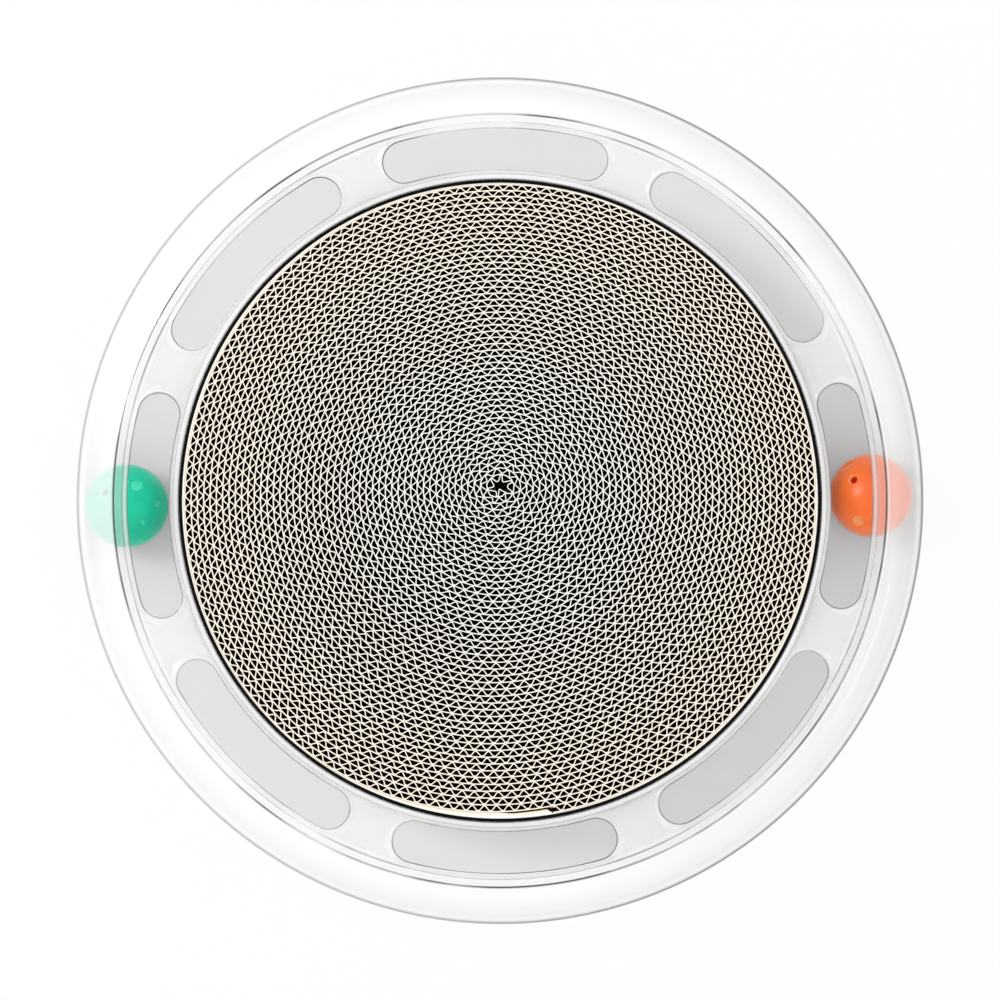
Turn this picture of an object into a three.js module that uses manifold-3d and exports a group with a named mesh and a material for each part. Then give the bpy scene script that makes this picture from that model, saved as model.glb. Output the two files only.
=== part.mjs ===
// Cat ball track toy: two hollow balls roll in a clear ring-shaped track, round a scratching coil of corrugated
// card. Millimetres, +Z up. The origin is on the floor at the ring's centre, and +X points at the orange ball.

import * as THREE from 'three';
import { mergeVertices } from 'three/addons/utils/BufferGeometryUtils.js';
import Module from 'manifold-3d';

const wasm = await Module();
wasm.setup();

// Gap between pieces that touch in the real toy
const fitGap = 0.3;

// Balls
const ballDiameter = 40;
const ballWall = 1.8;

// Ball track: its middle, the room round a ball, and how far the resting balls lie off the middle
const trackRadius = 179.75;
const sideClearance = 1.15;
const headroom = 1.5;
const mintBallShift = 0.75;
const orangeBallShift = -0.75;

// Clear shell
const shellWall = 3.1;
const floorThickness = 2.4;
const topThickness = 2;
const bottomCornerRadius = 15;
const lapDepth = 4;
const wellWall = 2.2;
const flangeWall = 2.1;
const flangeDepth = 10;
const rimRise = 0.8;
const rimRounding = 0.7;

// Cover: the crease where the shoulder meets the flat strip, and the step down to the windowed band
const creaseOutsideTrack = 4.95;
const stepOutsideTrack = 1.15;
const stepHeight = 1;
const stepSlope = 0.7;

// Windows in the cover
const windowCount = 8;
const windowWidth = 19.35;
const windowHalfLength = 54.1;
const windowInnerMargin = 0.1;
const frameWidth = 2.6;
const frameInnerMargin = 0.6;
const frameRise = 0.6;

// Scratching coil, its wrapper and its edge band
const coilTurns = 24;
const stripGap = 0.9;
const eyeRadius = 4;
const eyeOffset = 6;
const tailAngle = 290;
const coilRecess = 1.3;
const wrapperWall = 1.2;
const bandWall = 1.5;
const bandHeight = 9;
const refillClearance = 0.4;

// Anti-slip pads under the base
const padCount = 6;
const padDiameter = 26;
const padThickness = 2;
const padCircleRadius = 118;

// Marks moulded in the balls
const holeDiameter = 3.6;
const countersinkDiameter = 5.6;
const countersinkDepth = 0.5;
const craterDepth = 0.8;

// Fineness of the round shapes
const ringSegments = 72;
const shoulderSegments = 7;
const cornerSegments = 4;
const stepsPerTurn = 24;
const ballSegments = 20;
const ballRings = 12;
const hollowSegments = 12;
const hollowRings = 8;
const markSegments = 10;
const windowEndSegments = 6;
const windowSideSegments = 5;
const padSegments = 18;
const cutOvershoot = 5;

// Radii, from the ball outwards and inwards
const ballRadius = ballDiameter / 2;
const channelInner = trackRadius - ballRadius - sideClearance;
const channelOuter = trackRadius + ballRadius + sideClearance;
const outerRadius = channelOuter + shellWall;
const stepRadius = trackRadius + stepOutsideTrack;
const flangeInner = channelInner - flangeWall;
const wellOuter = flangeInner - fitGap;
const wellInner = wellOuter - wellWall;
const bandOuter = wellInner - refillClearance;
const wrapperOuter = bandOuter - bandWall - fitGap;
const coilRadius = wrapperOuter - wrapperWall - fitGap;
const windowInner = channelInner + windowInnerMargin;
const windowOuter = windowInner + windowWidth;

// Heights, from the floor up
const baseUnderside = padThickness;
const floorTop = baseUnderside + floorThickness;
const ballCentreHeight = floorTop + fitGap + ballRadius;
const topUnderside = ballCentreHeight + ballRadius + headroom;
const windowedBandTop = topUnderside + topThickness;
const stripTop = windowedBandTop + stepHeight;
const rimTop = stripTop + rimRise;
const coilTop = rimTop - coilRecess;
const coilBottom = floorTop + fitGap;
const ledgeTop = topUnderside - flangeDepth - fitGap;

// The shoulder is an arc above the track's middle; its inner face is one wall in and meets the top's underside
const shoulderRadius = outerRadius - trackRadius;
const creaseLean = Math.acos(creaseOutsideTrack / shoulderRadius);
const shoulderCentreHeight = stripTop - shoulderRadius * Math.sin(creaseLean);
const shoulderInnerRadius = shoulderRadius - shellWall;
const shoulderInnerHeight = topUnderside - shoulderInnerRadius;

// The lap joint half way up the outer wall: a tongue on the base inside a skirt on the cover
const tongueTop = shoulderInnerHeight - fitGap;
const lapBottom = tongueTop - lapDepth;
const tongueOuter = channelOuter + (shellWall - fitGap) / 2;
const skirtInner = tongueOuter + fitGap;

const radians = THREE.MathUtils.degToRad;

/** Points of an arc in a profile, about (r, z), from one angle to another in radians. */
function profileArc(r, z, radius, from, to, segments) {
  const points = [];
  for (let i = 0; i <= segments; i += 1) {
    const angle = from + ((to - from) * i) / segments;
    points.push(new THREE.Vector2(r + radius * Math.cos(angle), z + radius * Math.sin(angle)));
  }
  return points;
}

/** A geometry with only its positions, shared corners merged and flat triangles dropped. */
function closedGeometry(geometry) {
  const bare = geometry.clone();
  bare.deleteAttribute('normal');
  bare.deleteAttribute('uv');
  const merged = mergeVertices(bare);
  const kept = [];
  for (let i = 0; i < merged.index.count; i += 3) {
    const [a, b, c] = [0, 1, 2].map((k) => merged.index.getX(i + k));
    if (a !== b && b !== c && c !== a) {
      kept.push(a, b, c);
    }
  }
  merged.setIndex(kept);
  return merged;
}

/** A solid for cutting and joining, from a closed geometry. */
function toSolid(geometry) {
  const closed = closedGeometry(geometry);
  return new wasm.Manifold(
    new wasm.Mesh({
      numProp: 3,
      vertProperties: Float32Array.from(closed.attributes.position.array),
      triVerts: Uint32Array.from(closed.index.array),
    }),
  );
}

/** A geometry from a solid. */
function toGeometry(solid) {
  const mesh = solid.getMesh();
  const geometry = new THREE.BufferGeometry();
  geometry.setAttribute('position', new THREE.BufferAttribute(mesh.vertProperties, 3));
  geometry.setIndex(new THREE.BufferAttribute(mesh.triVerts, 1));
  geometry.computeVertexNormals();
  return geometry;
}

/** A ring or disc turned about +Z from a profile of (radius, height) points that run anticlockwise. */
function turned(profile) {
  return new THREE.LatheGeometry(profile, ringSegments).rotateX(Math.PI / 2);
}

/** A flat outline in X and Y, raised from one height to another. */
function raised(shape, low, high) {
  return new THREE.ExtrudeGeometry(shape, { depth: high - low, bevelEnabled: false }).translate(0, 0, low);
}

/** Base: a disc floor, the bowl of the track and the stepped wall of the coil's well, in one moulding. */
function baseGeometry() {
  const innerCorner = bottomCornerRadius - shellWall;
  const outerCentre = [outerRadius - bottomCornerRadius, baseUnderside + bottomCornerRadius];
  const innerCentre = [channelOuter - innerCorner, floorTop + innerCorner];
  return turned([
    new THREE.Vector2(0, baseUnderside),
    ...profileArc(...outerCentre, bottomCornerRadius, -Math.PI / 2, 0, cornerSegments),
    new THREE.Vector2(outerRadius, lapBottom),
    new THREE.Vector2(tongueOuter, lapBottom),
    new THREE.Vector2(tongueOuter, tongueTop),
    new THREE.Vector2(channelOuter, tongueTop),
    ...profileArc(...innerCentre, innerCorner, 0, -Math.PI / 2, cornerSegments),
    new THREE.Vector2(channelInner, floorTop),
    new THREE.Vector2(channelInner, ledgeTop),
    new THREE.Vector2(wellOuter, ledgeTop),
    new THREE.Vector2(wellOuter, rimTop - rimRounding),
    new THREE.Vector2(wellOuter - rimRounding, rimTop),
    new THREE.Vector2(wellInner + rimRounding, rimTop),
    new THREE.Vector2(wellInner, rimTop - rimRounding),
    new THREE.Vector2(wellInner, ledgeTop - wellWall),
    new THREE.Vector2(channelInner - wellWall, ledgeTop - wellWall),
    new THREE.Vector2(channelInner - wellWall, floorTop),
    new THREE.Vector2(0, floorTop),
  ]);
}

/** A slot with round ends, bent along the ring, as a flat outline. */
function bentSlot(innerRadius, slotOuterRadius, halfLength, centreAngle) {
  const endRadius = (slotOuterRadius - innerRadius) / 2;
  const middle = innerRadius + endRadius;
  const reach = (halfLength - endRadius) / middle;
  const points = [];
  const place = (radius, angle) => new THREE.Vector2(radius * Math.cos(angle), radius * Math.sin(angle));
  for (let i = 0; i < windowSideSegments; i += 1) {
    points.push(place(slotOuterRadius, centreAngle - reach + (2 * reach * i) / windowSideSegments));
  }
  for (let i = 0; i < windowEndSegments; i += 1) {
    const turn = (Math.PI * i) / windowEndSegments;
    points.push(place(middle, centreAngle + reach).add(place(endRadius, centreAngle + reach + turn)));
  }
  for (let i = 0; i < windowSideSegments; i += 1) {
    points.push(place(innerRadius, centreAngle + reach - (2 * reach * i) / windowSideSegments));
  }
  for (let i = 0; i < windowEndSegments; i += 1) {
    const turn = Math.PI + (Math.PI * i) / windowEndSegments;
    points.push(place(middle, centreAngle - reach).add(place(endRadius, centreAngle - reach + turn)));
  }
  return new THREE.Shape(points);
}

/** Direction of a window's middle, in radians from +X. */
function windowAngle(i) {
  return (2 * Math.PI * i) / windowCount;
}

/** Cover: the shoulder, the flat strip and the windowed band, with a flange that stands on the base's ledge. */
function coverGeometry() {
  const shell = turned([
    new THREE.Vector2(skirtInner, lapBottom + fitGap),
    new THREE.Vector2(outerRadius, lapBottom + fitGap),
    ...profileArc(trackRadius, shoulderCentreHeight, shoulderRadius, 0, creaseLean, shoulderSegments),
    new THREE.Vector2(stepRadius, stripTop),
    new THREE.Vector2(stepRadius - stepSlope, windowedBandTop),
    new THREE.Vector2(flangeInner, windowedBandTop),
    new THREE.Vector2(flangeInner, ledgeTop + fitGap),
    new THREE.Vector2(channelInner, ledgeTop + fitGap),
    new THREE.Vector2(channelInner, topUnderside),
    ...profileArc(
      trackRadius, shoulderInnerHeight, shoulderInnerRadius, Math.PI / 2, 0, shoulderSegments,
    ),
    new THREE.Vector2(skirtInner, shoulderInnerHeight),
    new THREE.Vector2(skirtInner, lapBottom + fitGap),
  ]);
  let cover = toSolid(shell);
  for (let i = 0; i < windowCount; i += 1) {
    const angle = windowAngle(i);
    const frame = bentSlot(
      flangeInner + frameInnerMargin, windowOuter + frameWidth, windowHalfLength + frameWidth, angle,
    );
    cover = cover.add(toSolid(raised(frame, topUnderside + topThickness / 2, windowedBandTop + frameRise)));
  }
  for (let i = 0; i < windowCount; i += 1) {
    const angle = windowAngle(i);
    const opening = bentSlot(windowInner, windowOuter, windowHalfLength, angle);
    cover = cover.subtract(toSolid(raised(opening, topUnderside - cutOvershoot, stripTop + cutOvershoot)));
  }
  return toGeometry(cover);
}

const stripPitch = (coilRadius - eyeRadius + stripGap) / (coilTurns + 1);
const stripWidth = stripPitch - stripGap;

/** Place on the coil: the turn counted from the eye, and a distance out from the strip's inner face. */
function coilPoint(turn, outwards) {
  const radius = eyeRadius + stripPitch * turn + outwards;
  const angle = radians(tailAngle) + 2 * Math.PI * (coilTurns - turn);
  const offset = eyeOffset * (1 - radius / coilRadius);
  return new THREE.Vector2(radius * Math.cos(angle), offset + radius * Math.sin(angle));
}

/** Coil: one strip on its edge, wound clockwise from the eye to its tail. */
function coilGeometry() {
  const positions = [];
  const faces = [];
  const steps = coilTurns * stepsPerTurn;
  for (let i = 0; i <= steps; i += 1) {
    const inner = coilPoint(i / stepsPerTurn, 0);
    const outer = coilPoint(i / stepsPerTurn, stripWidth);
    positions.push(inner.x, inner.y, coilBottom, outer.x, outer.y, coilBottom);
    positions.push(outer.x, outer.y, coilTop, inner.x, inner.y, coilTop);
  }
  for (let i = 0; i < steps; i += 1) {
    for (let k = 0; k < 4; k += 1) {
      const [a, b] = [4 * i + k, 4 * i + ((k + 1) % 4)];
      faces.push(a, b + 4, a + 4, a, b, b + 4);
    }
  }
  const last = 4 * steps;
  faces.push(0, 2, 1, 0, 3, 2, last, last + 1, last + 2, last, last + 2, last + 3);
  const geometry = new THREE.BufferGeometry();
  geometry.setAttribute('position', new THREE.Float32BufferAttribute(positions, 3));
  geometry.setIndex(faces);
  geometry.computeVertexNormals();
  return geometry;
}

/** Least distance between one turn's outer face and the next turn's inner face, over the coil's points. */
function leastCoilGap() {
  let least = Infinity;
  for (let i = 0; i < (coilTurns - 1) * stepsPerTurn; i += 1) {
    const outer = coilPoint(i / stepsPerTurn, stripWidth);
    for (let k = 0; k < 2; k += 1) {
      const from = coilPoint(1 + (i + k - 1) / stepsPerTurn, 0);
      const to = coilPoint(1 + (i + k) / stepsPerTurn, 0);
      const along = to.clone().sub(from).normalize();
      const across = outer.clone().sub(from);
      least = Math.min(least, Math.abs(along.cross(across)));
    }
  }
  return least;
}

/** Wrapper: round outside, and on the inside it follows the last turn and closes the wedge beyond the tail. */
function wrapperGeometry() {
  const outline = new THREE.Shape();
  outline.absarc(0, 0, wrapperOuter, 0, 2 * Math.PI, false);
  const hole = new THREE.Path();
  const points = [];
  for (let i = 0; i <= stepsPerTurn; i += 1) {
    points.push(coilPoint(coilTurns - 1 + i / stepsPerTurn, stripWidth + fitGap));
  }
  const tailClearance = fitGap / coilRadius / (2 * Math.PI);
  points[0] = coilPoint(coilTurns - 1 + tailClearance, stripWidth + fitGap);
  points.push(coilPoint(coilTurns + tailClearance, stripWidth + fitGap));
  hole.setFromPoints(points);
  outline.holes.push(hole);
  return new THREE.ExtrudeGeometry(outline, {
    depth: coilTop - coilBottom, bevelEnabled: false, curveSegments: ringSegments,
  }).translate(0, 0, coilBottom);
}

/** Edge band: a thin ring round the wrapper's top. */
function bandGeometry() {
  const inner = bandOuter - bandWall;
  return turned([
    new THREE.Vector2(inner, coilTop - bandHeight),
    new THREE.Vector2(bandOuter, coilTop - bandHeight),
    new THREE.Vector2(bandOuter, coilTop),
    new THREE.Vector2(inner, coilTop),
    new THREE.Vector2(inner, coilTop - bandHeight),
  ]);
}

/** Outward direction on a ball: degrees of tilt away from straight up, and of heading from +X. */
function markDirection({ tilt, heading }) {
  return new THREE.Vector3().setFromSphericalCoords(1, radians(tilt), radians(90 + heading)).applyAxisAngle(
    new THREE.Vector3(1, 0, 0), Math.PI / 2,
  );
}

/** Tool that cuts a through hole with a countersunk mouth, pointing along +Y from the ball's centre. */
function holeCutter() {
  const mouth = ballRadius - countersinkDepth;
  return new THREE.LatheGeometry(
    [
      new THREE.Vector2(0, ballRadius - ballWall - cutOvershoot),
      new THREE.Vector2(holeDiameter / 2, ballRadius - ballWall - cutOvershoot),
      new THREE.Vector2(holeDiameter / 2, mouth),
      new THREE.Vector2(countersinkDiameter / 2, ballRadius),
      new THREE.Vector2(countersinkDiameter / 2, ballRadius + cutOvershoot),
      new THREE.Vector2(0, ballRadius + cutOvershoot),
    ],
    markSegments,
  );
}

/** Tool that presses a shallow round crater of the given width. */
function craterCutter(width) {
  const sagitta = ballRadius - Math.sqrt(ballRadius ** 2 - (width / 2) ** 2);
  const depth = craterDepth + sagitta;
  const radius = ((width / 2) ** 2 + depth ** 2) / (2 * depth);
  return new THREE.SphereGeometry(radius, markSegments, markSegments / 2).translate(
    0, ballRadius - craterDepth + radius, 0,
  );
}

/** Hollow ball about its own centre with its holes and craters, as a solid. */
function hollowBall(marks) {
  const outside = new THREE.SphereGeometry(ballRadius, ballSegments, ballRings);
  const inside = new THREE.SphereGeometry(ballRadius - ballWall, hollowSegments, hollowRings);
  let ball = toSolid(outside.rotateX(Math.PI / 2)).subtract(toSolid(inside.rotateX(Math.PI / 2)));
  const up = new THREE.Vector3(0, 1, 0);
  for (const mark of marks) {
    for (const side of [1, -1]) {
      const cutter = mark.crater ? craterCutter(mark.crater) : holeCutter();
      const direction = markDirection(mark).multiplyScalar(side);
      cutter.applyQuaternion(new THREE.Quaternion().setFromUnitVectors(up, direction));
      ball = ball.subtract(toSolid(cutter));
    }
  }
  return ball;
}

/** The two welded halves of a ball: above and below its middle. */
function ballHalves(marks) {
  const ball = hollowBall(marks);
  const block = new THREE.BoxGeometry(2 * ballDiameter, 2 * ballDiameter, 2 * ballDiameter);
  const lift = ballDiameter + fitGap / 2;
  const above = toSolid(block.clone().translate(0, 0, lift));
  const below = toSolid(block.clone().translate(0, 0, -lift));
  return { upper: toGeometry(ball.intersect(above)), lower: toGeometry(ball.intersect(below)) };
}

// Marks of the mint ball and of the orange ball: holes go through, and craters give their width
const mintMarks = [
  { tilt: 36, heading: 140 },
  { tilt: 38, heading: 56, crater: 6.4 },
  { tilt: 38, heading: -40, crater: 3.4 },
  { tilt: 54, heading: 1, crater: 5 },
  { tilt: 71, heading: -55, crater: 4 },
  { tilt: 62, heading: -140 },
];
const orangeMarks = [
  { tilt: 36, heading: 140 },
  { tilt: 47, heading: -121, crater: 7.2 },
  { tilt: 56, heading: 4, crater: 4 },
  { tilt: 70, heading: 129, crater: 6 },
  { tilt: 66, heading: -40 },
];

const clearPlastic = new THREE.MeshStandardMaterial({
  color: 0xf2f5f6, roughness: 0.08, metalness: 0, transparent: true, opacity: 0.35, side: THREE.DoubleSide,
});
const card = new THREE.MeshStandardMaterial({ color: 0xd9c6a0, roughness: 0.9, metalness: 0 });
const wrapperPaper = new THREE.MeshStandardMaterial({ color: 0xefe6d0, roughness: 0.85, metalness: 0 });
const blackBand = new THREE.MeshStandardMaterial({ color: 0x0c0c0c, roughness: 0.6, metalness: 0 });
const mintPlastic = new THREE.MeshStandardMaterial({ color: 0x2fc79a, roughness: 0.4, metalness: 0 });
const orangePlastic = new THREE.MeshStandardMaterial({ color: 0xee7a45, roughness: 0.4, metalness: 0 });
const padRubber = new THREE.MeshStandardMaterial({ color: 0xd8dadb, roughness: 0.8, metalness: 0 });

const toy = new THREE.Group();

/** Adds a named piece to a group. */
function addPiece(group, name, geometry, material) {
  const piece = new THREE.Mesh(geometry, material);
  piece.name = name;
  group.add(piece);
  return piece;
}

/** Adds a ball, resting on the track's floor at a place along X. */
function addBall(name, marks, material, place) {
  const ball = new THREE.Group();
  const halves = ballHalves(marks);
  addPiece(ball, `${name}_upper_half`, halves.upper, material);
  addPiece(ball, `${name}_lower_half`, halves.lower, material);
  ball.position.set(place, 0, ballCentreHeight);
  toy.add(ball);
}

addPiece(toy, 'base_tray', toGeometry(toSolid(baseGeometry())), clearPlastic);
addPiece(toy, 'track_cover', coverGeometry(), clearPlastic);
addPiece(toy, 'scratch_coil', coilGeometry(), card);
addPiece(toy, 'coil_wrapper', toGeometry(toSolid(wrapperGeometry())), wrapperPaper);
addPiece(toy, 'coil_edge_band', toGeometry(toSolid(bandGeometry())), blackBand);
addBall('mint_ball', mintMarks, mintPlastic, -trackRadius - mintBallShift);
addBall('orange_ball', orangeMarks, orangePlastic, trackRadius + orangeBallShift);

for (let i = 0; i < padCount; i += 1) {
  const pad = new THREE.CylinderGeometry(padDiameter / 2, padDiameter / 2, padThickness, padSegments);
  const angle = (2 * Math.PI * i) / padCount;
  const piece = addPiece(toy, `anti_slip_pad_${i + 1}`, pad.rotateX(Math.PI / 2), padRubber);
  piece.position.set(padCircleRadius * Math.cos(angle), padCircleRadius * Math.sin(angle), padThickness / 2);
}

console.log(`Least gap between the coil's turns: ${leastCoilGap().toFixed(2)} mm`);

export default toy;
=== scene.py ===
"""Looks of the cat ball track toy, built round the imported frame.

The classes hold their sizes in millimetres; meshes and materials are in metres in the row frame.
"""

import logging
import math
from dataclasses import dataclass
from enum import Enum
from typing import Iterable, Iterator, Optional, Sequence

import bmesh
import bpy
import numpy as np
from mathutils import Matrix, Vector


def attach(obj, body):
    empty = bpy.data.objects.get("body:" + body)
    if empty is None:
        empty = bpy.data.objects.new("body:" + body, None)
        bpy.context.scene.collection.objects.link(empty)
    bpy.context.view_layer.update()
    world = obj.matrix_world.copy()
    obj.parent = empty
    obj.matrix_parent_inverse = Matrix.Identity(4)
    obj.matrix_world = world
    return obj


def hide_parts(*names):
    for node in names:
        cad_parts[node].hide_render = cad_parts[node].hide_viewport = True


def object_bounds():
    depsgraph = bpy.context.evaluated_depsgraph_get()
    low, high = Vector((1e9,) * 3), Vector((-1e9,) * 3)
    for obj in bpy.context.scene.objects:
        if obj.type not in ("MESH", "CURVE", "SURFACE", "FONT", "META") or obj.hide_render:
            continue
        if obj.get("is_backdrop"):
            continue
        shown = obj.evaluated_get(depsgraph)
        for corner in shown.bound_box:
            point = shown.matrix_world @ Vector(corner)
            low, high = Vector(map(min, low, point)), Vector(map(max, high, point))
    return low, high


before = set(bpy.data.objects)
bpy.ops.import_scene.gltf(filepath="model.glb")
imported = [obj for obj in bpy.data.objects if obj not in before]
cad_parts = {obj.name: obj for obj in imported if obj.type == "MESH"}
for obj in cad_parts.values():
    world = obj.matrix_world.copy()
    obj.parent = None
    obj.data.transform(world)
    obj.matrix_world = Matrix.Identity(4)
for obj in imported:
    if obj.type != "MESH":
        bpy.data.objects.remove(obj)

logging.basicConfig(level=logging.INFO, format="%(message)s")
log = logging.getLogger("toy")

MM = 0.001
MERGE = 0.02
Colour = tuple[float, float, float]
Profile = Sequence[tuple[float, float]]
Span = tuple[float, float]
BLACK: Colour = (0.0, 0.0, 0.0)
WHITE = (1.0, 1.0, 1.0, 1.0)


class Body(Enum):
    """Moving bodies of the frame."""

    BASE = "base"
    COVER = "cover"
    REFILL = "coil_refill"
    MINT = "mint_ball"
    ORANGE = "orange_ball"


class Mark(Enum):
    """Masks painted on a mesh's points, which its material reads."""

    # Milkiness, with painted highlights of white haze along some edges.
    HAZE = "haze"
    # Painted dark lines and grey tones: painted shade standing in for refraction at bends and edges.
    LINE = "line"
    CREAM = "cream"
    # Painted light: where a ball's wall is thin and shows lighter, as if light shone through.
    THIN = "thin"
    HOLLOW = "hollow"


class Zone(Enum):
    """Which face of the clear plastic a point lies on."""

    OUTSIDE = 0
    INSIDE = 1


# Shader nodes


class Graph:
    """A node tree with short calls for placing and joining nodes."""

    def __init__(self, tree: bpy.types.NodeTree) -> None:
        """Keeps the tree.

        Args:
            tree: The tree that the nodes go into.
        """
        self.tree = tree
        self.column = 0

    def node(self, kind: str, inputs: Optional[dict] = None, **settings: object) -> bpy.types.Node:
        """Places a node.

        Args:
            kind: Blender's node type.
            inputs: Socket names with a value, or a socket to join.
            settings: Properties of the node.

        Returns:
            The node.
        """
        made = self.tree.nodes.new(kind)
        made.location = (180 * self.column, 0)
        self.column += 1
        for name, value in settings.items():
            setattr(made, name, value)
        for name, value in (inputs or {}).items():
            self.feed(made.inputs[name], value)
        return made

    def feed(self, socket: bpy.types.NodeSocket, value: object) -> None:
        """Joins a socket to another, or sets its value."""
        if isinstance(value, bpy.types.NodeSocket):
            self.tree.links.new(value, socket)
        else:
            socket.default_value = value

    def math(self, operation: str, a: object, b: object, clamp: bool = False) -> bpy.types.NodeSocket:
        """Works out one sum on two values and returns the result's socket."""
        made = self.node("ShaderNodeMath", operation=operation, use_clamp=clamp)
        self.feed(made.inputs[0], a)
        self.feed(made.inputs[1], b)
        return made.outputs[0]

    def ramp(self, value: object, low: object, high: object, start: float = 0.0,
             end: float = 1.0) -> bpy.types.NodeSocket:
        """Maps low..high smoothly to start..end.

        Args:
            value: What is mapped.
            low: Value at which the result is start.
            high: Value at which the result is end.
            start: Result at low.
            end: Result at high.

        Returns:
            The result's socket.
        """
        made = self.node("ShaderNodeMapRange", interpolation_type="SMOOTHSTEP")
        for socket, given in zip(made.inputs, (value, low, high, start, end)):
            self.feed(socket, given)
        return made.outputs[0]

    def mix(self, factor: object, a: object, b: object) -> bpy.types.NodeSocket:
        """Mixes two colours and returns the result's socket."""
        made = self.node("ShaderNodeMix", data_type="RGBA")
        for index, given in ((0, factor), (6, a), (7, b)):
            self.feed(made.inputs[index], (*given, 1.0) if isinstance(given, tuple) else given)
        return made.outputs[2]

    def noise(self, vector: object, scale: object, detail: float) -> bpy.types.NodeSocket:
        """Places fractal noise and returns its value's socket."""
        made = self.node("ShaderNodeTexNoise", {"Scale": scale, "Detail": detail, "Vector": vector})
        return made.outputs[0]

    def place(self) -> bpy.types.NodeSocket:
        """Reads the point's place in the object, in metres."""
        return self.node("ShaderNodeTexCoord").outputs["Object"]

    def painted(self, mark: Mark) -> bpy.types.NodeSocket:
        """Reads a mask that is painted on the mesh."""
        return self.node("ShaderNodeAttribute", attribute_name=mark.value).outputs["Fac"]

    def bump(self, strength: float, distance: float, height: object) -> bpy.types.NodeSocket:
        """Turns a height into a normal and returns the normal's socket."""
        made = self.node("ShaderNodeBump", {"Strength": strength, "Distance": distance, "Height": height})
        return made.outputs["Normal"]

    def group(self, tree: bpy.types.NodeTree, inputs: dict) -> bpy.types.Node:
        """Places a node group with its values.

        Args:
            tree: The group's tree.
            inputs: Socket names with a value, or a socket to join.

        Returns:
            The group's node.
        """
        made = self.node("ShaderNodeGroup", node_tree=tree)
        for name, value in inputs.items():
            self.feed(made.inputs[name], (*value, 1.0) if isinstance(value, tuple) else value)
        return made


def new_group(name: str, inputs: Sequence[tuple[str, str]],
              outputs: Sequence[tuple[str, str]]) -> tuple[Graph, bpy.types.Node, bpy.types.Node]:
    """Starts a shader node group.

    Args:
        name: The group's name.
        inputs: Names and kinds (Float, Color or Vector) of what it takes in.
        outputs: Names and kinds of what it puts out.

    Returns:
        Its graph, its input node and its output node.
    """
    tree = bpy.data.node_groups.new(name, "ShaderNodeTree")
    for label, kind in inputs:
        tree.interface.new_socket(label, in_out="INPUT", socket_type=f"NodeSocket{kind}")
    for label, kind in outputs:
        tree.interface.new_socket(label, in_out="OUTPUT", socket_type=f"NodeSocket{kind}")
    graph = Graph(tree)
    return graph, graph.node("NodeGroupInput"), graph.node("NodeGroupOutput")


def moulded_surface_group() -> bpy.types.NodeTree:
    """Builds the faint wave, dust and handling marks of moulded plastic.

    Returns:
        The group: it puts out a roughness and a height.
    """
    graph, given, result = new_group(
        "moulded surface",
        [("Roughness", "Float"), ("Spread", "Float"), ("Scale", "Float")],
        [("Roughness", "Float"), ("Height", "Float")],
    )
    dust_scale, dust_height = 900.0, 0.15
    place = graph.place()
    wave = graph.noise(place, given.outputs["Scale"], 3.0)
    dust = graph.math("MULTIPLY", graph.noise(place, dust_scale, 2.0), dust_height)
    smudge = graph.ramp(wave, 0.35, 0.7, -1.0, 1.0)
    spread = graph.math("MULTIPLY", smudge, given.outputs["Spread"])
    roughness = graph.math("ADD", given.outputs["Roughness"], spread, clamp=True)
    graph.feed(result.inputs["Roughness"], roughness)
    graph.feed(result.inputs["Height"], graph.math("ADD", dust, wave))
    return graph.tree


def paper_fibre_group() -> bpy.types.NodeTree:
    """Builds the fibres and specks of raw paper.

    Returns:
        The group: it puts out a colour and a height.
    """
    graph, given, result = new_group(
        "paper fibre",
        [("Colour", "Color"), ("Fleck", "Color"), ("Amount", "Float")],
        [("Colour", "Color"), ("Height", "Float")],
    )
    fibre_scale, patch_scale = 1400.0, 45.0
    place = graph.place()
    stretched = graph.node("ShaderNodeMapping", {"Vector": place, "Scale": (1.0, 1.0, 0.35)})
    fibre = graph.noise(stretched.outputs[0], fibre_scale, 4.0)
    patch = graph.noise(place, patch_scale, 2.0)
    mask = graph.math("MULTIPLY", graph.ramp(fibre, 0.42, 0.68), given.outputs["Amount"])
    mask = graph.math("MULTIPLY", mask, graph.ramp(patch, 0.3, 0.7, 0.5, 1.4), clamp=True)
    graph.feed(result.inputs["Colour"], graph.mix(mask, given.outputs["Colour"], given.outputs["Fleck"]))
    graph.feed(result.inputs["Height"], fibre)
    return graph.tree


def clear_tint_group() -> bpy.types.NodeTree:
    """Builds the milky haze of clear plastic and the painted dark lines and edges that stand in for its
    refraction where it bends sharply.

    Returns:
        The group: it puts out a colour and an alpha.
    """
    graph, given, result = new_group(
        "clear tint",
        [("Haze", "Float"), ("Line", "Float"), ("Edge", "Float"), ("Haze Colour", "Color"),
         ("Line Colour", "Color"), ("Cloud", "Float")],
        [("Colour", "Color"), ("Alpha", "Float")],
    )
    cloud_scale, break_scale = 9.0, 16.0
    place = graph.place()
    cloud = graph.ramp(graph.noise(place, cloud_scale, 1.0), 0.3, 0.7, -1.0, 1.0)
    cloud = graph.math("MULTIPLY", cloud, given.outputs["Cloud"])
    haze = graph.math("MULTIPLY", given.outputs["Haze"], graph.math("ADD", cloud, 1.0), clamp=True)
    # Painted shade: the dark lines and slant edges are mixed into the colour.
    broken = graph.ramp(graph.noise(place, break_scale, 3.0), 0.34, 0.58, 0.55, 1.0)
    line = graph.math("MULTIPLY", given.outputs["Line"], broken)
    dark = graph.math("MAXIMUM", line, given.outputs["Edge"], clamp=True)
    colour = graph.mix(dark, given.outputs["Haze Colour"], given.outputs["Line Colour"])
    graph.feed(result.inputs["Colour"], colour)
    graph.feed(result.inputs["Alpha"], graph.math("MAXIMUM", haze, dark, clamp=True))
    return graph.tree


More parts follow.
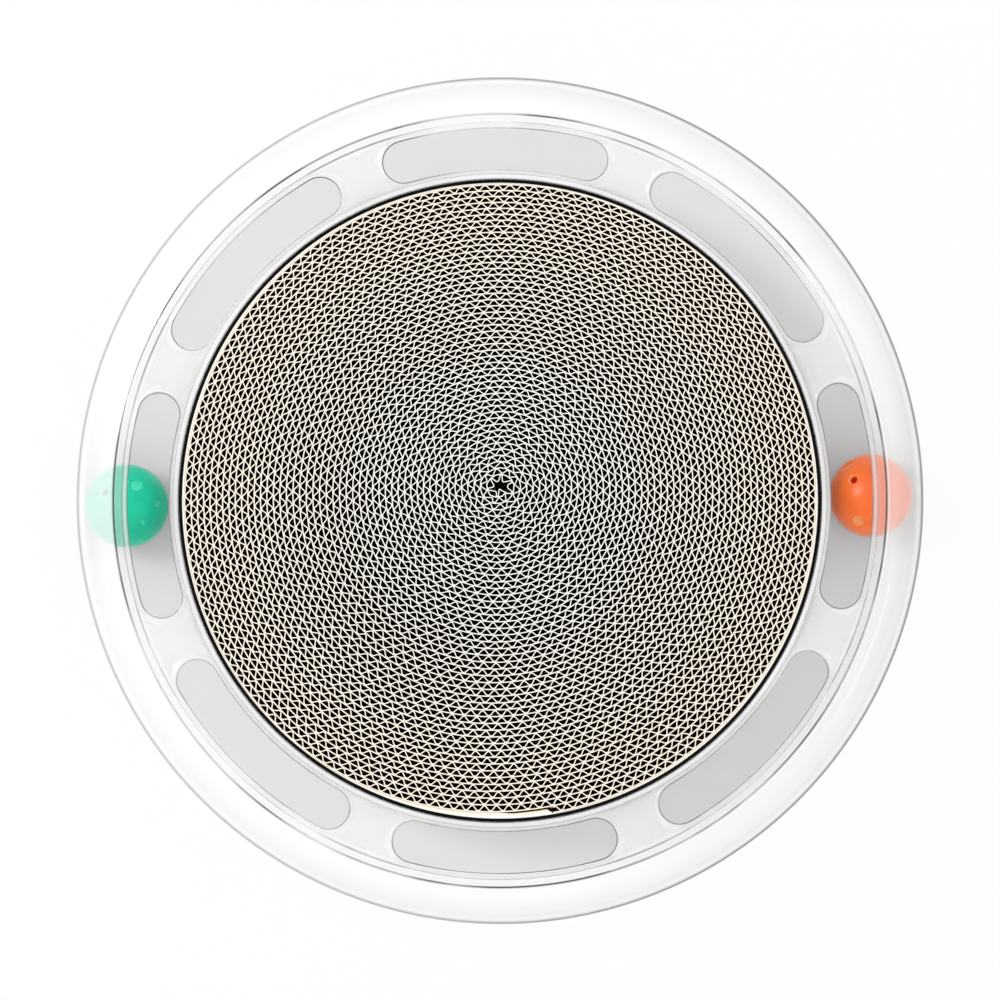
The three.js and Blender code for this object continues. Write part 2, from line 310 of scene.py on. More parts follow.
@dataclass(frozen=True)
class Groups:
    """The node groups that materials share."""

    moulded: bpy.types.NodeTree
    fibre: bpy.types.NodeTree
    tint: bpy.types.NodeTree

    @classmethod
    def build(cls) -> "Groups":
        """Builds every group once."""
        return cls(moulded_surface_group(), paper_fibre_group(), clear_tint_group())


def new_material(name: str) -> tuple[bpy.types.Material, Graph, bpy.types.Node]:
    """Starts a node material.

    Args:
        name: The material's name.

    Returns:
        The material, its graph and its output node.
    """
    material = bpy.data.materials.new(name)
    material.use_nodes = True
    material.node_tree.nodes.clear()
    graph = Graph(material.node_tree)
    return material, graph, graph.node("ShaderNodeOutputMaterial")


@dataclass(frozen=True)
class ClearPlastic:
    """Clear, glossy moulded plastic: its haze and its painted dark lines come from the masks painted on the
    mesh.

    Surfaces seen at a slant are painted dark, standing in for the refraction at the edges of clear mouldings,
    and more so on the side away from the key lamp: painted shade. The haze lets most of the light through to
    the pieces behind it.
    """

    name: str
    haze_colour: Colour
    # Colour of the painted dark lines and edges.
    line_colour: Colour = (0.05, 0.05, 0.053)
    roughness: float = 0.09
    cloud: float = 0.08
    # Painted shade on slant edges, standing in for refraction:
    edge_start: float = 0.60
    edge_end: float = 0.78
    edge_depth: float = 0.9
    soft_start: float = 0.35
    soft_depth: float = 0.015
    # Painted shade: the edges go from lit_edge on the key lamp's side (-X) to unlit_edge on the far side.
    lit_reach: float = 0.2
    lit_edge: float = 0.85
    unlit_edge: float = 1.2
    passes: float = 0.85
    gloss: float = 1.0
    index: float = 1.49
    spread: float = 0.03
    wave_scale: float = 14.0
    wave_strength: float = 0.12
    wave_height: float = 0.0006

    def make(self, groups: Groups) -> bpy.types.Material:
        """Builds the material.

        Args:
            groups: The shared node groups.

        Returns:
            The material.
        """
        material, graph, output = new_material(self.name)
        # Painted shade: slant edges are darkened in the colour, more on the +X side away from the key lamp.
        facing = graph.node("ShaderNodeLayerWeight", {"Blend": 0.5}).outputs["Facing"]
        sharp = graph.ramp(facing, self.edge_start, self.edge_end, 0.0, self.edge_depth)
        soft = graph.ramp(facing, self.soft_start, self.edge_start, 0.0, self.soft_depth)
        across = graph.node("ShaderNodeSeparateXYZ", {0: graph.place()}).outputs[0]
        unlit = graph.ramp(across, -self.lit_reach, self.lit_reach, self.lit_edge, self.unlit_edge)
        tint = graph.group(groups.tint, {
            "Haze": graph.painted(Mark.HAZE), "Line": graph.painted(Mark.LINE),
            "Edge": graph.math("MULTIPLY", graph.math("ADD", sharp, soft), unlit),
            "Haze Colour": self.haze_colour, "Line Colour": self.line_colour, "Cloud": self.cloud,
        })
        surface = graph.group(groups.moulded, {
            "Roughness": self.roughness, "Spread": self.spread, "Scale": self.wave_scale,
        })
        normal = graph.bump(self.wave_strength, self.wave_height, surface.outputs["Height"])
        rays = graph.node("ShaderNodeLightPath")
        light = graph.math("MAXIMUM", rays.outputs["Is Shadow Ray"], rays.outputs["Is Diffuse Ray"])
        held = graph.math("SUBTRACT", 1.0, graph.math("MULTIPLY", light, self.passes))
        body = graph.node("ShaderNodeBsdfPrincipled", {
            "Base Color": tint.outputs["Colour"], "Roughness": surface.outputs["Roughness"],
            "Alpha": graph.math("MULTIPLY", tint.outputs["Alpha"], held), "Normal": normal,
            "IOR": self.index,
        })
        sheen = graph.node("ShaderNodeBsdfGlossy", {
            "Color": WHITE, "Roughness": surface.outputs["Roughness"], "Normal": normal,
        })
        far_face = graph.node("ShaderNodeNewGeometry").outputs["Backfacing"]
        fall = graph.math("MULTIPLY", far_face, self.index - 1 / self.index)
        fresnel = graph.node("ShaderNodeFresnel", {
            "IOR": graph.math("SUBTRACT", self.index, fall), "Normal": normal,
        })
        bare = graph.math("SUBTRACT", 1.0, tint.outputs["Alpha"], clamp=True)
        bare = graph.math("MULTIPLY", graph.math("MULTIPLY", bare, held), self.gloss)
        amount = graph.math("MULTIPLY", fresnel.outputs[0], bare)
        mixed = graph.node("ShaderNodeMixShader", {0: amount, 1: body.outputs[0], 2: sheen.outputs[0]})
        graph.feed(output.inputs["Surface"], mixed.outputs[0])
        return material


@dataclass(frozen=True)
class CutCard:
    """Corrugated card seen on its cut edge: pale edges, and walls with painted shade that darkens down into
    the cells and towards the coil's middle.
    """

    name: str = "cut card"
    inner_edge: Colour = (0.98, 0.97, 0.90)
    outer_edge: Colour = (0.99, 0.92, 0.79)
    wall: Colour = (0.56, 0.32, 0.12)
    # Colour of the painted shade deep in the cells.
    cell_shade: Colour = (0.06, 0.03, 0.012)
    top: float = 0.0487
    fleck: Colour = (0.62, 0.48, 0.32)
    fibres: float = 0.14
    fibre_strength: float = 0.3
    fibre_height: float = 0.0002
    roughness: float = 0.9
    shine: float = 0.2
    shade_depth: float = 0.022
    radius: float = 0.150
    inner_share: float = 0.25
    dimmest: float = 0.3

    def make(self, groups: Groups) -> bpy.types.Material:
        """Builds the material.

        Args:
            groups: The shared node groups.

        Returns:
            The material.
        """
        material, graph, output = new_material(self.name)
        axes = graph.node("ShaderNodeSeparateXYZ", {0: graph.place()})
        level = graph.node("ShaderNodeCombineXYZ", {0: axes.outputs[0], 1: axes.outputs[1], 2: 0.0})
        distance = graph.node("ShaderNodeVectorMath", {0: level.outputs[0]}, operation="LENGTH")
        outward = graph.ramp(distance.outputs["Value"], self.radius * self.inner_share, self.radius)
        edge = graph.mix(outward, self.inner_edge, self.outer_edge)
        # Painted shade: the walls darken down into the cells and towards the middle of the coil.
        depth = graph.ramp(axes.outputs[2], self.top - self.shade_depth, self.top + 0.001)
        depth = graph.math("MULTIPLY", depth, depth)
        lit = graph.math("MULTIPLY", depth, graph.ramp(outward, 0.0, 1.0, self.dimmest, 1.0))
        wall = graph.mix(lit, self.cell_shade, self.wall)
        facing = graph.node("ShaderNodeNewGeometry").outputs["True Normal"]
        upward = graph.node("ShaderNodeSeparateXYZ", {0: facing}).outputs[2]
        is_edge = graph.ramp(upward, 0.4, 0.8)
        fibre = graph.group(groups.fibre, {"Colour": edge, "Fleck": self.fleck, "Amount": self.fibres})
        body = graph.node("ShaderNodeBsdfPrincipled", {
            "Base Color": graph.mix(is_edge, wall, fibre.outputs["Colour"]), "Roughness": self.roughness,
            "Normal": graph.bump(self.fibre_strength, self.fibre_height, fibre.outputs["Height"]),
            "Specular IOR Level": self.shine,
        })
        graph.feed(output.inputs["Surface"], body.outputs[0])
        return material


@dataclass(frozen=True)
class Paper:
    """Uncoated paper with fibres, creamier where the mesh is painted so."""

    name: str
    colour: Colour
    cream: Colour
    fleck: Colour
    fibres: float = 0.3
    fibre_strength: float = 0.35
    fibre_height: float = 0.0002
    roughness: float = 0.85
    shine: float = 0.25

    def make(self, groups: Groups) -> bpy.types.Material:
        """Builds the material.

        Args:
            groups: The shared node groups.

        Returns:
            The material.
        """
        material, graph, output = new_material(self.name)
        colour = graph.mix(graph.painted(Mark.CREAM), self.colour, self.cream)
        fibre = graph.group(groups.fibre, {"Colour": colour, "Fleck": self.fleck, "Amount": self.fibres})
        body = graph.node("ShaderNodeBsdfPrincipled", {
            "Base Color": fibre.outputs["Colour"], "Roughness": self.roughness,
            "Normal": graph.bump(self.fibre_strength, self.fibre_height, fibre.outputs["Height"]),
            "Specular IOR Level": self.shine,
        })
        graph.feed(output.inputs["Surface"], body.outputs[0])
        return material


@dataclass(frozen=True)
class SatinPlastic:
    """Coloured satin plastic or rubber, a little translucent where asked.

    A translucent ball's hollow gives off a little light, which stands in for the light through its wall.
    The ball's colour is muted in the light that it throws on other pieces.
    """

    name: str
    colour: Colour
    roughness: float
    glow: float = 0.0
    glow_radius: Colour = (1.0, 1.0, 1.0)
    glow_scale: float = 0.0015
    coat: float = 0.0
    coat_roughness: float = 0.34
    shine: float = 0.5
    shade: float = 0.85
    patch_scale: float = 60.0
    spread: float = 0.05
    grain: float = 0.1
    grain_scale: float = 80.0
    grain_height: float = 0.0003
    shine_through_colour: Optional[Colour] = None
    hollow_colour: Optional[Colour] = None
    muted: float = 0.0
    muted_colour: Colour = (0.3, 0.3, 0.3)

    def make(self, groups: Groups) -> bpy.types.Material:
        """Builds the material.

        Args:
            groups: The shared node groups.

        Returns:
            The material.
        """
        material, graph, output = new_material(self.name)
        patch = graph.ramp(graph.noise(graph.place(), self.patch_scale, 3.0), 0.35, 0.7)
        darker = tuple(channel * self.shade for channel in self.colour)
        colour = graph.mix(patch, self.colour, darker)
        # Painted light: lighter where a ball's wall is thin, as if light shone through it.
        if self.shine_through_colour:
            colour = graph.mix(graph.painted(Mark.THIN), colour, self.shine_through_colour)
        if self.muted:
            bounced = graph.node("ShaderNodeLightPath").outputs["Is Diffuse Ray"]
            colour = graph.mix(graph.math("MULTIPLY", bounced, self.muted), colour, self.muted_colour)
        surface = graph.group(groups.moulded, {
            "Roughness": self.roughness, "Spread": self.spread, "Scale": self.grain_scale,
        })
        body = graph.node("ShaderNodeBsdfPrincipled", {
            "Base Color": colour, "Roughness": surface.outputs["Roughness"],
            "Normal": graph.bump(self.grain, self.grain_height, surface.outputs["Height"]),
            "Subsurface Weight": self.glow, "Subsurface Radius": self.glow_radius,
            "Subsurface Scale": self.glow_scale, "Coat Weight": self.coat,
            "Coat Roughness": self.coat_roughness, "Specular IOR Level": self.shine,
        })
        if self.hollow_colour:
            hollow = graph.mix(graph.painted(Mark.HOLLOW), BLACK, self.hollow_colour)
            graph.feed(body.inputs["Emission Color"], hollow)
            graph.feed(body.inputs["Emission Strength"], 1.0)
        graph.feed(output.inputs["Surface"], body.outputs[0])
        return material


# Meshes


class Skin:
    """Points, faces and painted masks of one mesh while it is built, in millimetres."""

    def __init__(self) -> None:
        """Starts an empty mesh."""
        self.blocks: list[np.ndarray] = []
        self.zones: list[np.ndarray] = []
        self.count = 0
        self.faces: list[np.ndarray] = []
        self.slots: list[np.ndarray] = []

    def add_points(self, points: np.ndarray, zone: Zone = Zone.OUTSIDE) -> int:
        """Adds an N by 3 block of points and returns the first one's number."""
        start = self.count
        self.blocks.append(np.asarray(points, float).reshape(-1, 3))
        self.zones.append(np.full(len(self.blocks[-1]), zone.value))
        self.count += len(self.blocks[-1])
        return start

    def add_faces(self, faces: np.ndarray, slot: int = 0) -> None:
        """Adds an N by 3 or N by 4 block of faces with one material slot."""
        faces = np.asarray(faces, int)
        self.faces.append(faces)
        self.slots.append(np.full(len(faces), slot, int))

    def add_loops(self, loops: Sequence[np.ndarray], slot: int = 0, closed: bool = True,
                  zone: Zone = Zone.OUTSIDE) -> list[int]:
        """Adds loops of the same length and joins each to the next with quads.

        Args:
            loops: N by 3 arrays of points.
            slot: The material slot of the faces.
            closed: Whether each loop joins its last point to its first.
            zone: The face of the plastic that the points lie on.

        Returns:
            The first point's number in each loop.
        """
        starts = [self.add_points(loop, zone) for loop in loops]
        for a, b in zip(starts[:-1], starts[1:]):
            self.join(a, b, len(loops[0]), slot, closed)
        return starts

    def join(self, a: int, b: int, length: int, slot: int = 0, closed: bool = True) -> None:
        """Joins two loops that are already in the mesh, by the numbers of their first points."""
        here = np.arange(length if closed else length - 1)
        there = (here + 1) % length
        self.add_faces(np.stack([a + here, a + there, b + there, b + here], axis=1), slot)

    def add_turned(self, profile: Profile, count: int, slot: int = 0,
                   zone: Zone = Zone.OUTSIDE) -> list[int]:
        """Adds a profile turned about the ring's axis.

        Args:
            profile: Its points, as (radius, height).
            count: Number of points round each circle.
            slot: The material slot of the faces.
            zone: The face of the plastic that the points lie on.

        Returns:
            The first point's number in each circle.
        """
        return self.add_loops([ring(r, z, count) for r, z in profile], slot, zone=zone)

    def close(self, start: int, count: int, middle: np.ndarray, turned: bool = False,
              slot: int = 0) -> None:
        """Closes a loop that is already in the mesh with a fan.

        Args:
            start: Number of the loop's first point.
            count: Number of points in the loop.
            middle: The fan's middle point.
            turned: Whether the fan faces the other way.
            slot: The material slot of the faces.
        """
        centre = self.add_points(middle)
        here = np.arange(count)
        fan = np.stack([start + here, start + (here + 1) % count, np.full(count, centre)], axis=1)
        self.add_faces(fan[:, ::-1] if turned else fan, slot)

    def points(self) -> np.ndarray:
        """All points so far, as one N by 3 array."""
        return np.concatenate(self.blocks)

    def inside(self) -> np.ndarray:
        """Which points lie on the inside, as one mask."""
        return np.concatenate(self.zones) == Zone.INSIDE.value

    def build(self, name: str, materials: Sequence[bpy.types.Material], marks: Optional[dict] = None,
              sharp: float = 40.0, merge: float = 0.0) -> bpy.types.Object:
        """Makes the object.

        Args:
            name: The piece's name.
            materials: The materials of its slots.
            marks: Masks, by Mark, with one value a point.
            sharp: Angle in degrees above which an edge is shown sharp.
            merge: Distance in millimetres within which points become one.

        Returns:
            The object, linked to the scene.
        """
        mesh = bpy.data.meshes.new(name)
        co = self.points() * MM
        loops = np.concatenate([block.ravel() for block in self.faces])
        totals = np.concatenate([np.full(len(block), block.shape[1]) for block in self.faces])
        mesh.vertices.add(len(co))
        mesh.vertices.foreach_set("co", co.ravel())
        mesh.loops.add(len(loops))
        mesh.loops.foreach_set("vertex_index", loops)
        mesh.polygons.add(len(totals))
        mesh.polygons.foreach_set("loop_start", np.concatenate([[0], np.cumsum(totals)[:-1]]))
        mesh.polygons.foreach_set("material_index", np.concatenate(self.slots))
        mesh.update(calc_edges=True)
        for mark, values in (marks or {}).items():
            mesh.attributes.new(mark.value, "FLOAT", "POINT").data.foreach_set("value", values)
        for material in materials:
            mesh.materials.append(material)
        if merge:
            shaped = bmesh.new()
            shaped.from_mesh(mesh)
            bmesh.ops.remove_doubles(shaped, verts=shaped.verts, dist=merge * MM)
            shaped.to_mesh(mesh)
            shaped.free()
        mesh.validate()
        finish_shading(mesh, sharp)
        made = bpy.data.objects.new(name, mesh)
        bpy.context.scene.collection.objects.link(made)
        return made


def finish_shading(mesh: bpy.types.Mesh, sharp: float) -> None:
    """Shades a mesh smooth, with edges sharp above an angle in degrees."""
    mesh.polygons.foreach_set("use_smooth", np.ones(len(mesh.polygons), bool))
    mesh.set_sharp_from_angle(angle=math.radians(sharp))
    mesh.update()


def place(obj: bpy.types.Object, body: Body, slot: str, nodes: Iterable[str]) -> bpy.types.Object:
    """Puts a piece on its body and in the place of its nodes.

    Args:
        obj: The piece.
        body: The body that it moves with.
        slot: Not used.
        nodes: The frame's nodes that it stands for.

    Returns:
        The piece.
    """
    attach(obj, body.value)
    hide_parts(*nodes)
    log.info("%s: %d faces", obj.name, len(obj.data.polygons))
    return obj


def arc(r: float, z: float, radius: float, start: float, end: float, count: int) -> Profile:
    """Points of an arc in a profile.

    Args:
        r: Radius of the arc's centre from the ring's axis.
        z: Height of the arc's centre.
        radius: The arc's radius.
        start: Angle of the first point in degrees.
        end: Angle of the last point in degrees.
        count: Number of points.

    Returns:
        The points as (radius, height).
    """
    angles = np.radians(np.linspace(start, end, count))
    return [(r + radius * math.cos(a), z + radius * math.sin(a)) for a in angles]


def ring(r: float, z: float, count: int) -> np.ndarray:
    """Points of a level circle about the ring's axis."""
    angles = np.arange(count) * 2 * math.pi / count
    return np.stack([r * np.cos(angles), r * np.sin(angles), np.full(count, z)], axis=1)


def smooth(value: np.ndarray, low: float, high: float) -> np.ndarray:
    """Smooth step from 0 at low to 1 at high."""
    t = np.clip((value - low) / (high - low), 0, 1)
    return t * t * (3 - 2 * t)


def bump_at(value: np.ndarray, centre: float, half_width: float, flat: float = 0.45) -> np.ndarray:
    """Peak: 1 within a flat share of half_width from the centre, 0 from half_width away."""
    return 1 - smooth(np.abs(value - centre), half_width * flat, half_width)


@dataclass
class Window:
    """One of the long windows with round ends: a slot bent along the ring."""

    count: int = 8
    inner: float = 158.4
    outer: float = 178.05
    half_length: float = 54.1

    def __post_init__(self) -> None:
        """Works out the middle line, the round ends and the reach of the straight part."""
        self.end = (self.outer - self.inner) / 2
        self.middle = self.inner + self.end
        self.reach = (self.half_length - self.end) / self.middle
        self.sector = 2 * math.pi / self.count

    def fold(self, angle: np.ndarray) -> np.ndarray:
        """Angle from the nearest window's middle."""
        return (angle + self.sector / 2) % self.sector - self.sector / 2

    def distance(self, x: np.ndarray, y: np.ndarray) -> np.ndarray:
        """Distance outside the nearest window's outline, negative inside."""
        r = np.hypot(x, y)
        a = self.fold(np.arctan2(y, x))
        side = np.maximum(r - self.outer, self.inner - r)
        tip = np.sign(a) * self.reach
        along, across = r * np.cos(a) - self.middle * np.cos(tip), r * np.sin(a) - self.middle * np.sin(tip)
        ends = np.hypot(along, across)
        return np.where(np.abs(a) <= self.reach, side, ends - self.end)

    def border(self, inner: float, outer: float, per_side: int, per_end: int) -> np.ndarray:
        """Border of a window's sector, as (radius, angle), anticlockwise from the outer right corner."""
        half = self.sector / 2
        out = [(outer, a) for a in np.linspace(-half, half, per_side + 1)[:-1]]
        out += [(r, half) for r in np.linspace(outer, inner, per_end + 1)[:-1]]
        out += [(inner, a) for a in np.linspace(half, -half, per_side + 1)[:-1]]
        out += [(r, -half) for r in np.linspace(inner, outer, per_end + 1)[:-1]]
        return np.array(out)

    def outline(self, border: np.ndarray, offset: np.ndarray) -> np.ndarray:
        """Points round a window that match a border's points.

        Args:
            border: The border, as (radius, angle).
            offset: Distance of each point outside the window's outline.

        Returns:
            The points as (x, y), for a window whose middle is on +X.
        """
        r, a = border[:, 0], border[:, 1]
        tip = np.sign(a) * self.reach
        x, y = r * np.cos(a), r * np.sin(a)
        cx, cy = self.middle * np.cos(tip), self.middle * np.sin(tip)
        away = np.hypot(x - cx, y - cy)
        tip_x = cx + (x - cx) / away * (self.end + offset)
        tip_y = cy + (y - cy) / away * (self.end + offset)
        side = np.where(r > self.middle, self.outer + offset, self.inner - offset)
        straight = np.abs(a) <= self.reach
        return np.stack([
            np.where(straight, side * np.cos(a), tip_x), np.where(straight, side * np.sin(a), tip_y),
        ], axis=1)


@dataclass(frozen=True)
class CoverHaze:
    """How milky each part of the cover is, from 0 for clear to 1, with painted highlights and a painted lamp
    side among them.
    """

    shoulder: float = 0.50
    # Painted light: the shoulder is milkier towards -X, the key lamp's side, and clearer away from it.
    lamp_side_haze: float = 0.13
    upper_dip: float = 0.06
    lower_rise: float = 0.16
    foot_dip: float = 0.20
    strip: float = 0.05
    band: float = 0.12
    between: float = 0.36
    lip: float = 0.36
    flange: float = 0.3
    inside: float = 0.02
    # Painted highlights: white haze along the beads round the windows, and along the crease and the step's
    # foot.
    bead: float = 0.6
    outer_bead: float = 0.12
    crease: float = 0.85
    step: float = 0.5


@dataclass(frozen=True)
class CoverShade:
    """How dark the painted lines and grey tones of the cover are, from 0 to 1: painted shade standing in for
    the refraction at its bends and edges and for shade seen through it.
    """

    crease: float = 1.0
    crease_between: float = -0.16
    step: float = 0.6
    step_between: float = 0.2
    rim: float = 0.85
    outer_rim: float = 0.03
    corner: float = 0.1
    lip: float = 0.45
    strip: float = 0.18
    bead: float = 0.10
    inner_lip: float = 0.16
    between: float = 0.10
    inner_between: float = 0.10


@dataclass(frozen=True)
class CoverPlaces:
    """Where the cover's haze and lines lie.

    The dips and the rise go from one tilt to another, in degrees. Between and corner are shares of a window's
    reach. The rest is in millimetres: a haze or a line has its shift from the edge and its half width, a bead
    has its distance from the window and its half width, and what both gain on the window's outer side.
    """

    upper_dip: Span = (20.0, 40.0)
    lower_rise: Span = (48.0, 70.0)
    foot_dip: Span = (78.0, 88.0)
    between: Span = (0.94, 1.08)
    corner: Span = (1.05, 0.35)
    outer_side: Span = (-3.0, 6.0)
    inner_bead: Span = (1.6, 0.8)
    outer_bead_extra: Span = (0.4, 0.6)
    crease_haze: Span = (0.95, 0.45)
    crease_line: Span = (0.1, 0.62)
    step_haze: Span = (-0.3, 0.5)
    step_line: Span = (0.1, 0.62)
    lip_line: Span = (0.15, 0.4)
    rim_fade: Span = (0.3, 0.8)
    strip_fade: float = 0.8


@dataclass
class Cover:
    """Clear cover: shoulder, flat strip, and the band with its framed windows."""

    outer_radius: float = 204.0
    track_radius: float = 179.75
    crease_radius: float = 184.7
    step_radius: float = 180.9
    step_foot: float = 180.2
    flange_inner: float = 156.5
    flange_outer: float = 158.2
    wall: float = 3.1
    skirt_inner: float = 202.6
    strip_top: float = 49.2
    band_top: float = 48.2
    underside: float = 46.2
    flange_foot: float = 36.2
    skirt_foot: float = 21.05
    bead: Profile = (
        (0.0, 0.2), (0.15, 0.4), (0.4, 0.56), (0.7, 0.6), (1.0, 0.6), (1.6, 0.52), (2.0, 0.3),
        (2.3, 0.1), (2.6, 0.0),
    )
    lip_corner: float = 0.35
    outer_fit: float = 0.97
    inner_fit: float = 0.92
    side_fade: float = 0.06
    flat_rows: tuple[float, ...] = (0.3, 0.6, 0.85)
    haze: CoverHaze = CoverHaze()
    shade: CoverShade = CoverShade()
    places: CoverPlaces = CoverPlaces()
    per_sector: int = 48
    per_end: int = 18

    def __post_init__(self) -> None:
        """Works out the shoulder's arcs from the walls that they meet."""
        self.window = Window()
        self.segments = self.per_sector * self.window.count
        self.shoulder = self.outer_radius - self.track_radius
        self.lean = math.degrees(math.acos((self.crease_radius - self.track_radius) / self.shoulder))
        self.shoulder_height = self.strip_top - self.shoulder * math.sin(math.radians(self.lean))
        self.inner_shoulder = self.shoulder - self.wall
        self.inner_height = self.underside - self.inner_shoulder

    def outer_profile(self) -> Profile:
        """Profile of the outside, from the skirt's foot over the shoulder to the foot of the step."""
        groove = self.crease_radius
        top = self.strip_top
        return [
            (self.outer_radius - 0.4, self.skirt_foot),
            (self.outer_radius - 0.1, self.skirt_foot + 0.1),
            (self.outer_radius, self.skirt_foot + 0.4),
            *arc(self.track_radius, self.shoulder_height, self.shoulder, 0, self.lean - 1.2, 44),
            (groove + 0.35, top - 0.2),
            (groove + 0.15, top - 0.28),
            (groove - 0.15, top - 0.28),
            (groove - 0.35, top - 0.2),
            (groove - 0.6, top - 0.03),
            (groove - 0.9, top),
            (self.step_radius + 1.5, top),
            (self.step_radius + 0.9, top),
            (self.step_radius + 0.6, top),
            (self.step_radius + 0.35, top - 0.05),
            (self.step_radius + 0.1, top - 0.2),
            (self.step_radius - 0.2, top - 0.5),
            (self.step_radius - 0.4, top - 0.75),
            (self.step_foot + 0.15, self.band_top + 0.1),
            (self.step_foot, self.band_top),
        ]

    def lip_profile(self) -> Profile:
        """Profile from the lip's inner edge down the flange and up to the underside."""
        inner = self.flange_inner
        return [
            (inner + self.lip_corner, self.band_top),
            (inner + 0.1, self.band_top - 0.1),
            (inner, self.band_top - self.lip_corner),
            (inner, self.flange_foot + 0.3),
            (inner + 0.3, self.flange_foot),
            (self.flange_outer - 0.3, self.flange_foot),
            (self.flange_outer, self.flange_foot + 0.3),
            (self.flange_outer, self.underside),
        ]

    def inner_profile(self) -> Profile:
        """Profile of the inside, from the underside over the shoulder to the skirt's foot."""
        return [
            *arc(self.track_radius, self.inner_height, self.inner_shoulder, 90, 0, 28),
            (self.skirt_inner, self.inner_height),
            (self.skirt_inner, self.skirt_foot + 0.2),
            (self.skirt_inner + 0.2, self.skirt_foot),
            (self.outer_radius - 0.4, self.skirt_foot),
        ]

    def add_windowed_band(self, skin: Skin) -> None:
        """Adds the flat band with its beads and windows, sector by sector.

        Args:
            skin: The mesh that is being built.
        """
        window = self.window
        bead_width = self.bead[-1][0]
        lip = self.flange_inner + self.lip_corner
        top = window.border(lip, self.step_foot, self.per_sector, self.per_end)
        low = window.border(self.flange_outer, self.track_radius, self.per_sector, self.per_end)
        outer_room = (self.step_foot - window.outer) / bead_width * self.outer_fit
        inner_room = (window.inner - lip) / bead_width * self.inner_fit
        lean = self.lean_to_side(top)
        room = 1 + lean * (np.where(top[:, 0] > window.middle, outer_room, inner_room) - 1)
        for k in range(window.count):
            turn = k * window.sector
            cos, sin = math.cos(turn), math.sin(turn)

            def spun(xy: np.ndarray, z: float) -> np.ndarray:
                """Turns flat points to this window and gives them a height."""
                return np.stack([
                    xy[:, 0] * cos - xy[:, 1] * sin, xy[:, 0] * sin + xy[:, 1] * cos, np.full(len(xy), z),
                ], axis=1)

            edge = np.stack([top[:, 0] * np.cos(top[:, 1]), top[:, 0] * np.sin(top[:, 1])], axis=1)
            foot = window.outline(top, bead_width * room)
            loops = [spun(edge, self.band_top)]
            for share in self.flat_rows:
                loops.append(spun(edge + (foot - edge) * share, self.band_top))
            for offset, height in reversed(self.bead):
                loops.append(spun(window.outline(top, offset * room), self.band_top + height))
            starts = skin.add_loops(loops, 0)
            rim = window.outline(top, np.zeros(len(top)))
            bottom = spun(rim, self.underside)
            below = skin.add_points(bottom, Zone.INSIDE)
            skin.join(starts[-1], below, len(top), 1)
            under = np.stack([low[:, 0] * np.cos(low[:, 1]), low[:, 0] * np.sin(low[:, 1])], axis=1)
            middle = skin.add_points(spun(rim + (under - rim) * 0.5, self.underside), Zone.INSIDE)
            last = skin.add_points(spun(under, self.underside), Zone.INSIDE)
            skin.join(below, middle, len(top), 1)
            skin.join(middle, last, len(top), 1)

    def lean_to_side(self, border: np.ndarray) -> np.ndarray:
        """How far each border point belongs to a long side: 1 beside the window, 0 off its ends."""
        over = np.abs(border[:, 1]) - self.window.reach
        near = 1 - smooth(over, 0.0, self.side_fade)
        side = (border[:, 0] == border[:, 0].max()) | (border[:, 0] == border[:, 0].min())
        return np.where(side, near, 0.0)

    def marks(self, points: np.ndarray, inside: np.ndarray) -> dict:
        """Paints the haze, with painted highlights along the crease, the step's foot and the beads, and the
        painted dark lines and grey tones of shade.

        Args:
            points: The mesh's points.
            inside: Which points lie on the inside.

        Returns:
            One value a point for each mask.
        """
        window, milky, dark, spot = self.window, self.haze, self.shade, self.places
        x, y, z = points.T
        r = np.hypot(x, y)
        away = window.distance(x, y)
        fold = np.abs(window.fold(np.arctan2(y, x)))
        between = smooth(fold, *(window.reach * share for share in spot.between))
        tilt = np.degrees(np.arctan2(np.maximum(r - self.track_radius, 0), z - self.shoulder_height))
        high = z > self.underside + 0.5
        band = (r < self.step_foot + 0.05) & high
        outer_side = smooth(r, *(window.middle + shift for shift in spot.outer_side))
        bead = bump_at(away, *(
            inner + extra * outer_side for inner, extra in zip(spot.inner_bead, spot.outer_bead_extra)
        ))

        def line_at(edge: float, place: Span) -> np.ndarray:
            """A circular line at a shift from an edge's radius."""
            return bump_at(r, edge + place[0], place[1])

        # Painted light: milkier on the key lamp's side (-X).
        haze = milky.shoulder - milky.lamp_side_haze * x / self.track_radius
        haze = haze - milky.upper_dip * smooth(tilt, *spot.upper_dip)
        haze = haze + milky.lower_rise * smooth(tilt, *spot.lower_rise)
        haze = haze - milky.foot_dip * smooth(tilt, *spot.foot_dip)
        haze = np.where(r < self.crease_radius, milky.strip, haze)
        haze = np.where(band, milky.band + milky.between * between, haze)
        haze = np.where(band & (r < window.inner), milky.lip, haze)
        # Painted highlights of white haze on the beads, beside the crease and at the step's foot.
        bead_highlight = bead * (milky.bead + milky.outer_bead * outer_side)
        haze = np.where(band, np.maximum(haze, bead_highlight), haze)
        haze = np.maximum(haze, milky.crease * line_at(self.crease_radius, spot.crease_haze))
        haze = np.maximum(haze, milky.step * line_at(self.step_foot, spot.step_haze) * high)
        haze = np.where(r < self.flange_outer - 0.1, np.where(high, haze, milky.flange), haze)
        haze = np.where(inside, milky.inside, haze)

